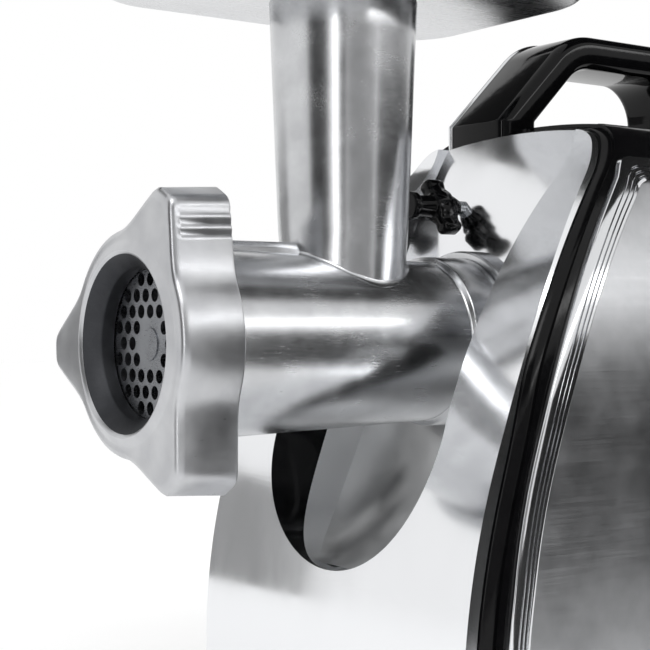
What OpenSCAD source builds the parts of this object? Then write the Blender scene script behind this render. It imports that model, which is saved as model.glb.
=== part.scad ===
// Electric meat grinder: a cast grinding head in a motor housing with a mirror front.
// Inside the modules, x = 0 is the screw ring's front face, y = 0 the middle plane and
// z = 0 the grinding axis. The head points along -X. machine() moves all of it so that
// the origin is on the table, under the middle of the box around the machine.

/* [Overall] */
// Height of the grinding axis above the table
axis_h = 178; // [165:1:215]
// Width of the housing over its side trims
body_w = 184; // [153:1:221]
// Height of the housing's crown above the grinding axis
crown_h = 89; // [87:1:96]

/* [Grinding head] */
// Diameter of the hole plate
plate_d = 62; // [51:1:75]
// Thickness of the hole plate
plate_t = 8; // [6:0.5:10]
// Diameter of the holes in the hole plate
plate_hole = 5; // [3:0.5:8]
// Distance from the ring's front to the end of the barrel's taper
barrel_l = 136; // [130:1:170]
// Thickness of the barrel's wall at the hole plate
barrel_wall = 5; // [4:0.5:7]
// Distance from the ring's front to the middle of the neck
neck_x = 97; // [95:1:100]
// Height of the neck's top above the grinding axis
neck_top = 135; // [120:1:165]
// Diameter of the feed throat
throat_d = 45; // [37:1:54]
// Thickness of the neck's wall at its foot
neck_wall = 3; // [2.5:0.5:6]
// Angle that the head turns to come out of its socket
unlock_angle = 45; // [40:1:50]

/* [Screw ring] */
// Length of the ring along the axis
ring_l = 25; // [22:1:30]
// Thickness of the ring's wall over the barrel's thread
ring_wall = 6; // [5:0.5:8]
// How far the three grip ears stand out of the ring
ear_h = 18; // [14:1:22]
// Width of an ear's tip
ear_tip = 10.5; // [8:0.5:14]

/* [Worm] */
// Gap between the worm's flight and the bore
worm_gap = 1; // [0.6:0.1:2]
// Pitch of the worm
worm_pitch = 36; // [30:1:45]
// Diameter of the worm's shaft in its bush
worm_shaft_d = 16; // [13:1:19]
// Side of the square drive
drive_side = 13; // [11:1:15]

/* [Tray and pusher] */
// Length of the filler tray
tray_l = 190; // [160:1:190]
// Width of the filler tray
tray_w = 140; // [117:1:168]
// Depth of the filler tray
tray_h = 30; // [25:1:36]
// Thickness of the tray's sheet
tray_t = 2; // [1.5:0.5:3]
// Length of the pusher below its flange
pusher_l = 97; // [60:1:97]
// Height of the pusher's grip above its flange
grip_h = 62; // [50:1:75]

/* [Housing] */
// Radius of the housing's curved front, seen from the side
front_r = 273; // [260:1:290]
// Distance from the ring's front to the foremost point of the housing
front_x = 85.5; // [80:1:88]
// Depth of that point below the grinding axis
front_drop = 130.7; // [120:1:140]
// Radius of the housing's sides, seen from the front
side_r = 245.7; // [220:1:270]
// Radius of the crown, seen from the front
crown_r = 320; // [200:1:400]
// Depth below the axis where the sides begin to lean in
shoulder_drop = 41; // [30:1:50]
// Distance from the ring's front to the upright brow at the top of the front
brow_x = 182; // [180:1:184]
// Thickness of the mirror front
mask_t = 5; // [4:0.5:6]
// Wall thickness of the housing shells
shell_t = 3; // [2.5:0.5:4]
// Depth of the black band between the mirror front and the side trim
band_w = 6; // [5:1:14]
// Width of the side trims
trim_w = 10; // [8:1:14]
// Radius of the recess around the socket
recess_r = 54.5; // [50:0.5:58]
// Thickness of the socket's wall around the head's flange
socket_wall = 3.3; // [2.5:0.1:5]
// Height of a rubber foot
foot_h = 6; // [4:1:10]

/* [Handle, knob and buttons] */
// Width of the carry handle
handle_w = 38; // [30:1:44]
// Thickness of the carry handle
handle_t = 15; // [12:1:18]
// Room for the fingers under the handle
finger_gap = 35; // [30:1:42]
// Distance of the handle from the middle plane
handle_y = 28; // [0:1:30]
// Height of the locking knob above the grinding axis
knob_z = 57.5; // [55:0.5:62]
// Distance of the locking knob from the middle plane
knob_y = 18; // [0:0.5:20]
// Length of one wing of the locking knob
knob_wing = 13.5; // [11:0.5:16]
// Diameter of the power button
button_d = 22; // [18:1:24]
// Travel of a button
button_travel = 3; // [2:0.5:4]

/* [Gears and motor] */
// Teeth of the three large gears
gear_teeth = 56; // [56:1:56]
// Teeth of the three pinions
pinion_teeth = 14; // [14:1:14]
// Module of the motor's stage
module_1 = 1; // [1:0.05:1.2]
// Module of the middle stage
module_2 = 1.25; // [1.25:0.05:1.4]
// Module of the output stage
module_3 = 1.5; // [1.25:0.05:1.6]
// Side of the motor's stator
stator_w = 76; // [63:1:90]
// Length of the motor's stator
stator_l = 40; // [34:1:48]
// Gap between the stator and the armature
air_gap = 0.6; // [0.5:0.1:1]

/* [Clearances] */
// Radial play of a shaft in its bearing
run_gap = 0.06; // [0.03:0.01:0.09]
// Gap between faces that move past each other
face_gap = 0.3; // [0.25:0.05:0.5]

/* [Hidden] */
$fn = 96;

// Grinding head, front to back
plate_r = plate_d / 2;
thread_r = plate_r + barrel_wall - 0.5;
ring_bore = thread_r + face_gap;
ring_r = ring_bore + ring_wall;
ring_wall_x = 10;
lip_x = -1.7;
barrel_x = ring_wall_x + face_gap;
plate_x = barrel_x + 0.2;
plate_back = plate_x + plate_t;
bore_r = plate_r - 3;
barrel_r = plate_r + barrel_wall;
barrel_end_r = barrel_r - 3.4;
flange_r = barrel_end_r + 2.1;
flange_x = barrel_l + 1.5;
spigot_r = flange_r - 2.2;
lug_r = spigot_r + 2.5;
lug_w = 38;
worm_r = bore_r - worm_gap;
knife_x = plate_back + 0.25;
knife_t = 7;
pin_r = 6;
shaft_r = worm_shaft_d / 2;
throat_r = throat_d / 2;
neck_foot_r = throat_r + neck_wall;
neck_top_r = neck_foot_r + 3.9;
collar_bore_r = throat_r + 2.2;
collar_depth = 13;

// Socket and recess. The recess' back wall stands at recess_x on the axis and leans back above it.
recess_x = 158;
socket_r = flange_r + socket_wall;
socket_x = recess_x - 2;
socket_l = 22;
lug_x = socket_x + 10;
lug_l = 5;
spigot_l = 18;
case_x = socket_x + socket_l;
scoop_r = 100;
scoop_cx = recess_x - scoop_r;
scoop_cz = 5;
lean_dx = 27;
lean_dz = 73;
recess_cz = -35;
recess_top_w = 45;
recess_top_z = 70;

// Gears: the three large gears turn in planes one behind the other
addendum = 0.8;
dedendum = 1.05;
backlash = 0.25;
dist_3 = module_3 * (gear_teeth + pinion_teeth) / 2;
dist_2 = module_2 * (gear_teeth + pinion_teeth) / 2;
dist_1 = module_1 * (gear_teeth + pinion_teeth) / 2;
dir_3 = -61.6;
dir_2 = 207;
second_c = dist_3 * [cos(dir_3), sin(dir_3)];
first_c = second_c + dist_2 * [cos(dir_2), sin(dir_2)];
dir_1 = -acos(-first_c[0] / dist_1);
motor_c = first_c + dist_1 * [cos(dir_1), sin(dir_1)];
case_t = 4;
gear_3_x = case_x + case_t + 3;
gear_3_w = 15;
gear_2_x = gear_3_x + gear_3_w + 2.5;
gear_2_w = 10;
gear_1_x = gear_2_x + gear_2_w + 2.5;
gear_1_w = 8;
case_split = gear_3_x + gear_3_w + 1;
case_back = gear_1_x + gear_1_w + 3;
case_end = case_back + case_t;
gear_shaft_r = 4;
output_r = 9;

// Motor
rotor_r = stator_w * 0.276;
motor_shaft_r = 4;
fan_x = case_end + 4;
fan_l = 9;
stator_x = fan_x + fan_l + 7;
stator_end = stator_x + stator_l;
coil_l = 6;
comm_x = stator_end + coil_l + 4;
comm_l = 12;
bracket_x = comm_x + comm_l + 3;
bracket_t = 4;
bolt_pitch = stator_w / 2 - 6;

// Housing
half_w = body_w / 2 - 5.5;
base_z = -axis_h + foot_h;
front_cx = front_x + front_r;
rear_x = bracket_x + bracket_t + 15;
rear_round = 45;
side_cy = side_r - half_w;
base_t = 4;
trim_top = 74;
trim_rear = rear_x - 18;
trim_low = base_z + 12;

// Frame
length = rear_x - lip_x;

module machine() {
    translate([-lip_x - length / 2, 0, axis_h]) children();
}

// Draws a shape of the (y, z) plane and pushes it along +X
module along_x(x0, x1) {
    translate([x0, 0, 0]) rotate([90, 0, 90]) linear_extrude(height = x1 - x0) children();
}

// Draws a shape of the (x, z) plane and pushes it along +Y
module along_y(y0, y1) {
    translate([0, y1, 0]) rotate([90, 0, 0]) linear_extrude(height = y1 - y0) children();
}

// A round bar along +X at a place in the (y, z) plane
module bar_x(x0, x1, r, c = [0, 0], r2 = undef) {
    translate([x0, c[0], c[1]]) rotate([0, 90, 0])
        cylinder(h = x1 - x0, r1 = r, r2 = r2 == undef ? r : r2);
}

// Turns a profile of (radius, x) points about the grinding axis
module turned(points) {
    rotate([0, 90, 0]) rotate_extrude() polygon(points);
}

// Points of a corner rounded with radius r
function unit(v) = v / norm(v);
function corner(a, b, c, r, n = 8) =
    let (
        u = unit(a - b),
        v = unit(c - b),
        half = acos(u * v) / 2,
        m = b + unit(u + v) * r / sin(half),
        p = b + u * r / tan(half) - m,
        q = b + v * r / tan(half) - m,
        a0 = atan2(p[1], p[0]),
        a1 = atan2(q[1], q[0]),
        turn = (a1 - a0 + 540) % 360 - 180
    )
    [for (i = [0:n]) m + r * [cos(a0 + turn * i / n), sin(a0 + turn * i / n)]];
function rounded(p, r) =
    [for (i = [0:len(p) - 1]) each corner(p[(i + len(p) - 1) % len(p)], p[i],
                                          p[(i + 1) % len(p)], r[i])];

// ---------- Grinding head ----------

// Outline of the screw ring: a round with three ears whose flanks run out in a curve
function ear_angles() = [117, 237, 357];
function ear_tip_angle() = asin(ear_tip / 2 / (ring_r + ear_h));
function away(a, b) = abs((a - b + 540) % 360 - 180);
function ear_rise(d) =
    d <= ear_tip_angle() ? 1 : d >= ear_tip_angle() + 30 ? 0 : pow(1 - (d - ear_tip_angle()) / 30, 2);
function ring_radius(a, r) = r + ear_h * ear_rise(min([for (e = ear_angles()) away(a, e)]));

module screw_ring() {
    color("silver") machine() difference() {
        union() {
            bar_x(0, ring_l, ring_r, r2 = ring_r + 1.2);
            along_x(0, ring_l)
                polygon([for (a = [0:3:357]) (ring_radius(a, ring_r) - 0.3) * [cos(a), sin(a)]]);
            turned([[ring_bore - 2.6, lip_x], [ring_r - 4.8, 0.1], [ring_bore - 5, 0.1]]);
        }
        bar_x(lip_x - 0.5, 5, ring_bore - 2.3, r2 = bore_r - 0.5);
        bar_x(-5, ring_wall_x + 1, bore_r - 0.5);
        bar_x(ring_wall_x, ring_l + 1, ring_bore);
    }
}

module hole_plate() {
    pitch = plate_hole * 1.36;
    color("lightgrey") machine() along_x(plate_x, plate_back) difference() {
        circle(r = plate_r);
        circle(r = pin_r + run_gap);
        for (i = [-5:5]) {
            for (j = [-5:5]) {
                p = [pitch * (i + j / 2), pitch * j * sin(60)];
                if (norm(p) > pin_r + plate_hole * 0.8 && norm(p) < bore_r - plate_hole / 2)
                    translate(p) circle(d = plate_hole, $fn = 24);
            }
        }
    }
}

module feed_head() {
    color("gainsboro") machine() difference() {
        union() {
            bar_x(barrel_x, ring_l + 1, thread_r);
            bar_x(ring_l + 1, barrel_l, barrel_r, r2 = barrel_end_r);
            bar_x(barrel_l, flange_x, barrel_end_r, r2 = flange_r);
            bar_x(flange_x, socket_x - face_gap, flange_r);
            bar_x(socket_x - face_gap - 1, socket_x + spigot_l, spigot_r);
            for (a = [90, 210, 330]) {
                intersection() {
                    bar_x(lug_x, lug_x + lug_l - face_gap, lug_r);
                    rotate([a, 0, 0]) along_x(lug_x - 1, lug_x + lug_l)
                        polygon([[0, 0], 60 * [cos(lug_w / 2), -sin(lug_w / 2)],
                                 60 * [cos(lug_w / 2), sin(lug_w / 2)]]);
                }
            }
            translate([neck_x, 0, 20])
                cylinder(h = neck_top - 20, r1 = neck_foot_r - 1, r2 = neck_top_r);
            translate([neck_x, 0, bore_r + 2]) cylinder(h = 12, r1 = neck_foot_r + 5, r2 = neck_foot_r);
            translate([ring_l + 2, -4, bore_r]) cube([neck_x - ring_l - 12, 8, 11]);
        }
        bar_x(barrel_x - 1, plate_back, plate_r + 0.1);
        bar_x(plate_back - 1, barrel_l + 1, bore_r);
        bar_x(barrel_l, socket_x + 2, shaft_r + 4);
        bar_x(socket_x + 1, socket_x + spigot_l + 1, spigot_r - 5);
        translate([neck_x, 0, 0]) cylinder(h = neck_top + 1, r = throat_r);
        translate([neck_x, 0, neck_top - collar_depth]) cylinder(h = collar_depth + 1, r = collar_bore_r);
    }
}

module head_bush() {
    color("peru") machine() difference() {
        bar_x(barrel_l + 1, socket_x + 1, shaft_r + 4);
        bar_x(barrel_l, socket_x + 2, shaft_r + run_gap);
    }
}

module thrust_washer() {
    color("white") machine() difference() {
        bar_x(barrel_l - 1.3, barrel_l + 1, bore_r - 6);
        bar_x(barrel_l - 2, barrel_l + 2, shaft_r + 0.4);
    }
}

module auger() {
    worm_x = knife_x + knife_t;
    worm_l = barrel_l - 1.6 - worm_x;
    flight_l = worm_l - 3;
    color("darkgrey") machine() {
        bar_x(worm_x, worm_x + worm_l, 9, r2 = 15);
        bar_x(worm_x + worm_l - 0.5, socket_x + 2.5, shaft_r);
        bar_x(knife_x - 0.1, worm_x + 1, 6.5);
        bar_x(plate_x - 0.5, knife_x, pin_r);
        translate([worm_x, 0, 0]) rotate([90, 0, 90])
            linear_extrude(height = flight_l, twist = -360 * flight_l / worm_pitch, slices = 48,
                           segments = 7)
                polygon([[0, 0], for (a = [-20:8:20]) worm_r * [cos(a), sin(a)]]);
    }
}

module knife() {
    color("lightsteelblue") machine() along_x(knife_x, knife_x + knife_t - 0.1) difference() {
        union() {
            circle(r = 12);
            for (a = [0, 90, 180, 270]) {
                rotate(a) polygon([[4, -6], [worm_r - 1.5, -5.5], [worm_r - 1, 3], [6, 7]]);
            }
        }
        circle(r = 6.5);
    }
}

module auger_coupling() {
    side = drive_side;
    color("ivory") machine() difference() {
        union() {
            bar_x(socket_x + 2.5, socket_x + 5, 11);
            translate([socket_x + 5, -side / 2, -side / 2]) cube([11, side, side]);
        }
        bar_x(socket_x + 2, socket_x + 17, 2.5);
    }
}

module output_shaft() {
    side = drive_side + 0.3;
    color("slategrey") machine() difference() {
        union() {
            bar_x(socket_x + 5.5, case_x - 2, 14);
            bar_x(case_x - 3, case_back + 2, output_r);
        }
        translate([socket_x + 4, -side / 2, -side / 2]) cube([12.5, side, side]);
    }
}

// ---------- Gears ----------

// Involute flank: the angle of a tooth's half thickness at radius r
function inv(a) = tan(a) * 180 / PI - a;
function flank(m, z, r) =
    let (base = m * z * cos(20) / 2, at = r > base ? acos(base / r) : 0)
    (PI * m / 2 - backlash / 2) / (m * z) * 180 / PI + inv(20) - inv(at);

// One tooth at angle 0 starts at the root of its lower flank
function tooth(m, z, at) =
    let (
        pitch_r = m * z / 2,
        root = pitch_r - dedendum * m,
        tip = pitch_r + addendum * m,
        low = max(root, m * z * cos(20) / 2),
        rs = [root, low + 0.25 * (tip - low), low + 0.6 * (tip - low), tip],
        lower = [for (r = rs) r * [cos(at - flank(m, z, r)), sin(at - flank(m, z, r))]],
        upper = [for (i = [3:-1:0]) rs[i] * [cos(at + flank(m, z, rs[i])), sin(at + flank(m, z, rs[i]))]]
    )
    concat(lower, upper);

module gear(m, z, phase, x0, x1, c, bore) {
    translate([0, c[0], c[1]]) along_x(x0, x1) difference() {
        polygon([for (i = [0:z - 1]) each tooth(m, z, phase + i * 360 / z)]);
        circle(r = bore);
    }
}

// The phase of a follower that meshes with a tooth pointing at it along dir
function meshed(dir, z) = dir + 180 + 180 / z;

module output_gear() {
    color("whitesmoke") machine()
        gear(module_3, gear_teeth, dir_3, gear_3_x, gear_3_x + gear_3_w, [0, 0], output_r);
}

module second_gear() {
    color("whitesmoke") machine() {
        gear(module_3, pinion_teeth, meshed(dir_3, pinion_teeth),
             gear_3_x, gear_2_x, second_c, gear_shaft_r);
        gear(module_2, gear_teeth, dir_2, gear_2_x, gear_2_x + gear_2_w, second_c, gear_shaft_r);
    }
}

module first_gear() {
    color("whitesmoke") machine() {
        gear(module_2, pinion_teeth, meshed(dir_2, pinion_teeth),
             gear_2_x, gear_1_x, first_c, gear_shaft_r);
        gear(module_1, gear_teeth, dir_1, gear_1_x, gear_1_x + gear_1_w, first_c, gear_shaft_r);
    }
}

// A gear's steel shaft, held in the two halves of the gear case
module gear_shaft(c) {
    color("grey") machine() bar_x(case_x + 1.7, case_end - 1.7, gear_shaft_r, c);
}

module second_shaft() {
    gear_shaft(second_c);
}

module first_shaft() {
    gear_shaft(first_c);
}

// Places of the screws, shared by the screws and by their holes
module at_case_screws() {
    for (a = [20, 95, 160]) {
        translate([0, (dist_3 - 4.5) * cos(a), (dist_3 - 4.5) * sin(a)]) children();
    }
}

module at_collar_screws() {
    for (a = [30, 150, 270]) {
        rotate([a, 0, 0]) translate([0, socket_r + 1.5, 0]) children();
    }
}

module at_base_screws() {
    for (x = [case_x + 14, case_split + 10]) {
        for (y = [-20, 20]) {
            translate([x, y, base_z]) children();
        }
    }
}

module at_motor_bolts() {
    for (y = [-1, 1]) {
        for (z = [-1, 1]) {
            translate([0, motor_c[0] + y * bolt_pitch, motor_c[1] + z * bolt_pitch]) children();
        }
    }
}

// The case's outline follows the gears; grow sets it in or out
module case_2d(grow) {
    circle(r = dist_3 - 6 + grow);
    translate(second_c) circle(r = module_2 * gear_teeth / 2 + 3.5 + grow);
    translate(first_c) circle(r = module_1 * gear_teeth / 2 + 3.5 + grow);
    translate(motor_c) circle(r = 12 + grow);
}

module case_foot(x0, x1) {
    translate([x0, -30, base_z + base_t])
        cube([x1 - x0, 60, motor_c[1] - 8 - base_z - base_t]);
}

module shaft_holes(x0, x1, play) {
    for (c = [second_c, first_c]) {
        bar_x(x0, x1, gear_shaft_r + play, c);
    }
}

module gear_case_front() {
    color("lightslategrey") machine() difference() {
        union() {
            along_x(case_x, case_split) case_2d(3);
            case_foot(case_x + 8, case_split);
        }
        along_x(case_x + case_t, case_split + 1) case_2d(0);
        bar_x(case_x - 1, case_x + case_t + 1, output_r + 4);
        shaft_holes(case_x + 1.5, case_x + case_t + 1, run_gap);
        at_case_screws() bar_x(case_split - 8, case_split + 1, 1.4);
        at_collar_screws() bar_x(case_x - 1, case_x + 3, 1.6);
        at_base_screws() cylinder(h = base_t + 7.5, r = 2);
    }
}

module gear_case_rear() {
    color("slategrey") machine() difference() {
        union() {
            along_x(case_split, case_end) case_2d(3);
            case_foot(case_split, case_end - 4);
            at_motor_bolts() bar_x(case_back, stator_x, 5);
        }
        along_x(case_split - 1, case_back) case_2d(0);
        bar_x(case_back - 1, case_end + 1, 8, motor_c);
        bar_x(case_back - 1, case_back + 2.2, output_r + run_gap);
        shaft_holes(case_back - 1, case_end - 1.5, run_gap);
        at_motor_bolts() bar_x(case_back - 3, stator_x + 1, 2.1);
        at_case_screws() bar_x(case_split - 1, case_end + 1, 1.4);
        at_base_screws() cylinder(h = base_t + 7.5, r = 2);
    }
}

module output_bearing() {
    color("goldenrod") machine() difference() {
        bar_x(case_x, case_x + case_t + 2, output_r + 4);
        bar_x(case_x - 1, case_x + case_t + 3, output_r + run_gap);
    }
}

// ---------- Motor ----------

module motor_stator() {
    notch = stator_w * 0.11;
    color("dimgrey") machine() translate([0, motor_c[0], motor_c[1]]) along_x(stator_x, stator_end)
        difference() {
            square(stator_w, center = true);
            circle(r = rotor_r + air_gap);
            for (s = [-1, 1]) {
                translate([s * (rotor_r + 3), 0]) square([10, 2 * notch + 12], center = true);
            }
            for (y = [-1, 1]) {
                for (z = [-1, 1]) {
                    translate(bolt_pitch * [y, z]) circle(r = 2.1);
                }
            }
        }
}

module field_coils() {
    color("chocolate") machine() for (x0 = [stator_x - coil_l, stator_end]) {
        for (s = [-1, 1]) {
            translate([x0, motor_c[0] - 14, motor_c[1] + s * (rotor_r + 5) - 4]) cube([coil_l, 28, 8]);
        }
    }
}

module motor_shaft() {
    color("grey") machine() {
        bar_x(gear_1_x + gear_1_w - 1, bracket_x + bracket_t, motor_shaft_r, motor_c);
        gear(module_1, pinion_teeth, meshed(dir_1, pinion_teeth),
             gear_1_x, gear_1_x + gear_1_w + 1, motor_c, 2);
    }
}

// A round piece that the motor's shaft passes through
module on_motor_shaft(x0, x1, r) {
    difference() {
        bar_x(x0, x1, r, motor_c);
        bar_x(x0 - 1, x1 + 1, motor_shaft_r, motor_c);
    }
}

module armature() {
    color("saddlebrown") machine() {
        on_motor_shaft(stator_x, stator_end, rotor_r);
        on_motor_shaft(stator_x - coil_l + 1, stator_x, rotor_r - 4);
        on_motor_shaft(stator_end, stator_end + coil_l - 1, rotor_r - 4);
    }
}

module commutator() {
    color("orange") machine() on_motor_shaft(comm_x, comm_x + comm_l, 11);
}

module cooling_fan() {
    hub_r = 9;
    blade_l = bolt_pitch - 18;
    color("black") machine() {
        on_motor_shaft(fan_x, fan_x + fan_l, hub_r);
        on_motor_shaft(fan_x, fan_x + 1.5, bolt_pitch - 8);
        for (a = [0:45:315]) {
            translate([fan_x + 1, motor_c[0], motor_c[1]]) rotate([a, 0, 0])
                translate([0, -0.8, hub_r - 0.5]) cube([fan_l - 1.5, 1.6, blade_l]);
        }
    }
}

module motor_bearings() {
    color("steelblue") machine() {
        difference() {
            bar_x(case_back, case_end, 8, motor_c);
            bar_x(case_back - 1, case_end + 1, motor_shaft_r + run_gap, motor_c);
        }
        difference() {
            bar_x(bracket_x, bracket_x + bracket_t, 8, motor_c);
            bar_x(bracket_x - 1, bracket_x + bracket_t + 1, motor_shaft_r + run_gap, motor_c);
        }
    }
}

module motor_bracket() {
    color("silver") machine() difference() {
        union() {
            translate([0, motor_c[0], motor_c[1]]) along_x(bracket_x, bracket_x + bracket_t)
                intersection() {
                    square(stator_w, center = true);
                    circle(r = stator_w * 0.62);
                }
            at_motor_bolts() bar_x(stator_end, bracket_x + 1, 5);
        }
        bar_x(bracket_x - 1, bracket_x + bracket_t + 1, 8, motor_c);
        at_motor_bolts() bar_x(stator_end - 1, bracket_x + bracket_t + 1, 2.1);
    }
}

module brush_holders() {
    color("black") machine() for (s = [-1, 1]) {
        translate([comm_x + 2, motor_c[0] + s * 20 - 8.7, motor_c[1] - 5]) cube([8, 17.4, 10]);
        translate([comm_x + 3, motor_c[0] + s * 24 - 4, motor_c[1] - 4]) cube([bracket_x - comm_x - 3, 8, 8]);
    }
}

module motor_bolts() {
    color("silver") machine() at_motor_bolts() {
        bar_x(case_back + 0.5, bracket_x + bracket_t, 2);
        bar_x(bracket_x + bracket_t, bracket_x + bracket_t + 3, 4);
    }
}

// ---------- Tray and pusher ----------

module tray_2d(inset) {
    x0 = neck_x - tray_l / 2 + inset;
    x1 = neck_x + tray_l / 2 - inset;
    y = tray_w / 2 - inset;
    polygon(rounded([[x0, -y], [x1, -y], [x1, y], [x0, y]], [for (i = [0:3]) 38 - inset]));
}

module filler_tray() {
    floor_z = neck_top + face_gap;
    color("silver") machine() difference() {
        union() {
            translate([0, 0, floor_z]) linear_extrude(height = tray_h) tray_2d(4);
            translate([0, 0, floor_z + tray_h - 3]) linear_extrude(height = 3) tray_2d(0);
            translate([neck_x, 0, neck_top - collar_depth + 1])
                cylinder(h = collar_depth + 1, r = collar_bore_r - face_gap);
        }
        translate([0, 0, floor_z + tray_t]) linear_extrude(height = tray_h) tray_2d(4 + tray_t);
        translate([neck_x, 0, 0]) cylinder(h = 400, r = throat_r);
    }
}

flange_z = neck_top + 2 * face_gap + tray_t;

module pusher_body() {
    r = throat_r - 0.6;
    color("black") machine() translate([neck_x, 0, flange_z]) difference() {
        union() {
            translate([0, 0, -pusher_l]) cylinder(h = pusher_l + 1, r = r);
            cylinder(h = 4, r = r + 7);
            translate([0, 0, 4]) cylinder(h = 12, r1 = r - 1, r2 = 15);
            translate([0, 0, 16]) cylinder(h = grip_h - 30, r = 15);
            translate([0, 0, grip_h - 14]) cylinder(h = 8, r1 = 15, r2 = r - 1);
        }
        translate([0, 0, 3 - pusher_l]) cylinder(h = pusher_l + grip_h, r = 11);
    }
}

module pusher_cap() {
    color("dimgrey") machine() translate([neck_x, 0, flange_z + grip_h - 6]) {
        cylinder(h = 6, r = throat_r - 1.6);
        translate([0, 0, -4]) cylinder(h = 5, r = 11);
    }
}

// ---------- Housing ----------

// Front view of the housing; grow sets its skin out
module outline_2d(grow) {
    intersection() {
        translate([-side_cy, -shoulder_drop]) circle(r = side_r + grow);
        translate([side_cy, -shoulder_drop]) circle(r = side_r + grow);
        translate([0, crown_h - crown_r]) circle(r = crown_r + grow);
        translate([-body_w, -shoulder_drop]) square([2 * body_w, 2 * crown_h]);
    }
    translate([-half_w - grow, base_z])
        square([2 * (half_w + grow), -shoulder_drop - base_z]);
}

// Height above the axis where the front turns upright at its top
brow_z = 76;

// Side view of the housing; depth sets its front edge back
module profile_2d(depth) {
    reach = rear_x - front_x;
    intersection() {
        union() {
            translate([front_cx, -front_drop]) circle(r = front_r - depth);
            translate([front_x + depth, base_z]) square([reach, -front_drop - base_z]);
            translate([brow_x + depth, brow_z]) square([reach, crown_h]);
        }
        translate([0, base_z]) square([rear_x, crown_h + 20 - base_z]);
    }
}

// The rear end of the side view, with its rounded top corner
module rear_2d(inset) {
    top = crown_h + 2 - inset;
    translate([0, base_z]) square([rear_x - rear_round, top - base_z]);
    translate([0, base_z]) square([rear_x - inset, top - rear_round - base_z + inset]);
    translate([rear_x - rear_round, crown_h + 2 - rear_round]) circle(r = rear_round - inset);
}

// The recess around the socket, seen from the front
module recess_2d(grow) {
    translate([0, recess_cz]) circle(r = recess_r + grow);
    w = recess_r + grow;
    top = recess_top_w + grow;
    polygon([[-w, recess_cz], [w, recess_cz], [top, recess_top_z], [top - 2, crown_h + 20],
             [2 - top, crown_h + 20], [-top, recess_top_z]]);
}

// The room in front of the recess' back wall, seen from the side
module scoop_2d(grow) {
    lean = lean_dx / lean_dz;
    top = crown_h + 40;
    intersection() {
        translate([scoop_cx, scoop_cz]) circle(r = scoop_r + grow);
        translate([-100, scoop_cz - 200]) square([400, 200]);
    }
    polygon([[-50, scoop_cz], [recess_x + grow, scoop_cz],
             [recess_x + grow + lean * (top - scoop_cz), top], [-50, top]]);
}

module recess(grow) {
    intersection() {
        along_x(0, rear_x) recess_2d(grow);
        along_y(-body_w, body_w) scoop_2d(grow);
    }
}

module front_mask() {
    color("lightgrey") machine() difference() {
        intersection() {
            union() {
                along_y(-body_w, body_w) difference() {
                    profile_2d(0);
                    profile_2d(mask_t);
                }
                intersection() {
                    along_y(-body_w, body_w) profile_2d(0);
                    recess(3);
                }
            }
            along_x(0, rear_x) outline_2d(0);
        }
        recess(0);
        bar_x(100, rear_x, socket_r + 0.2);
        bar_x(100, rear_x, 6.2, [knob_y, knob_z]);
    }
}

module socket_collar() {
    slot_w = lug_w + 6;
    color("silver") machine() difference() {
        union() {
            bar_x(socket_x, case_x, socket_r);
            bar_x(case_x - 4, case_x, socket_r + 4);
        }
        bar_x(socket_x - 1, case_x + 1, spigot_r + 0.09);
        bar_x(lug_x - face_gap, lug_x + lug_l, lug_r + face_gap);
        for (a = [90, 210, 330]) {
            intersection() {
                bar_x(socket_x - 1, lug_x + 1, lug_r + face_gap);
                rotate([a - unlock_angle, 0, 0]) along_x(socket_x - 2, lug_x + 2)
                    polygon([[0, 0], 60 * [cos(slot_w / 2), -sin(slot_w / 2)],
                             60 * [cos(slot_w / 2), sin(slot_w / 2)]]);
            }
        }
        at_collar_screws() bar_x(case_x - 6, case_x + 1, 1.6);
        at_collar_screws() bar_x(case_x - 6, case_x - 4, 2.6);
    }
}

// The housing without its hollow
module shell_solid() {
    intersection() {
        along_x(0, rear_x) outline_2d(2);
        along_y(-body_w, body_w) intersection() {
            profile_2d(mask_t);
            rear_2d(0);
        }
    }
}

module shell_block() {
    difference() {
        shell_solid();
        intersection() {
            along_x(0, rear_x - shell_t) outline_2d(2 - shell_t);
            along_y(-body_w, body_w) rear_2d(shell_t);
        }
        translate([0, -body_w, base_z - 1]) cube([rear_x - shell_t, 2 * body_w, shell_t + 2]);
    }
}

grille_w = 76;
grille_h = 70;
grille_z = motor_c[1];
gland_z = base_z + 24;

module half_shell(side) {
    difference() {
        intersection() {
            shell_block();
            translate([0, side > 0 ? 0 : -body_w, -axis_h]) cube([rear_x + 1, body_w, 400]);
        }
        recess(3 + face_gap);
        translate([rear_x - 10, -grille_w / 2, grille_z - grille_h / 2]) cube([20, grille_w, grille_h]);
        bar_x(rear_x - 10, rear_x + 1, 8, [0, gland_z]);
    }
}

button_x = rear_x - 62;
button_z = -66;
button_gap = 32;
window_w = 66;
window_h = 34;
panel_y = half_w + 4.3;

module window(y0, y1, grow) {
    translate([button_x - window_w / 2 - grow, y0, button_z - window_h / 2 - grow])
        cube([window_w + 2 * grow, y1 - y0, window_h + 2 * grow]);
}

switch_y = -half_w - 5.4 + 14 + button_travel + 0.4;
switch_d = 14;

module housing_right() {
    color("#1c1c1e") machine() {
        difference() {
            half_shell(-1);
            window(-body_w, -half_w + 10, -3);
        }
        for (x = [-1, 1] * (window_w / 2 - 1)) {
            translate([button_x + x, -half_w - 1, button_z]) rotate([-90, 0, 0])
                cylinder(h = switch_y + switch_d + half_w + 1, r = 4);
        }
    }
}

board_x = [case_end + 22, case_end + 76];
board_z = [-48, -8];
board_y = 68;

module housing_left() {
    color("#1c1c1e") machine() {
        half_shell(1);
        for (x = board_x) {
            for (z = board_z) {
                translate([x + (x == board_x[0] ? 4 : -4), board_y + 1.6, z + (z == board_z[0] ? 4 : -4)])
                    rotate([-90, 0, 0]) cylinder(h = half_w - board_y - 2.7, r = 3);
            }
        }
    }
}

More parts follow.
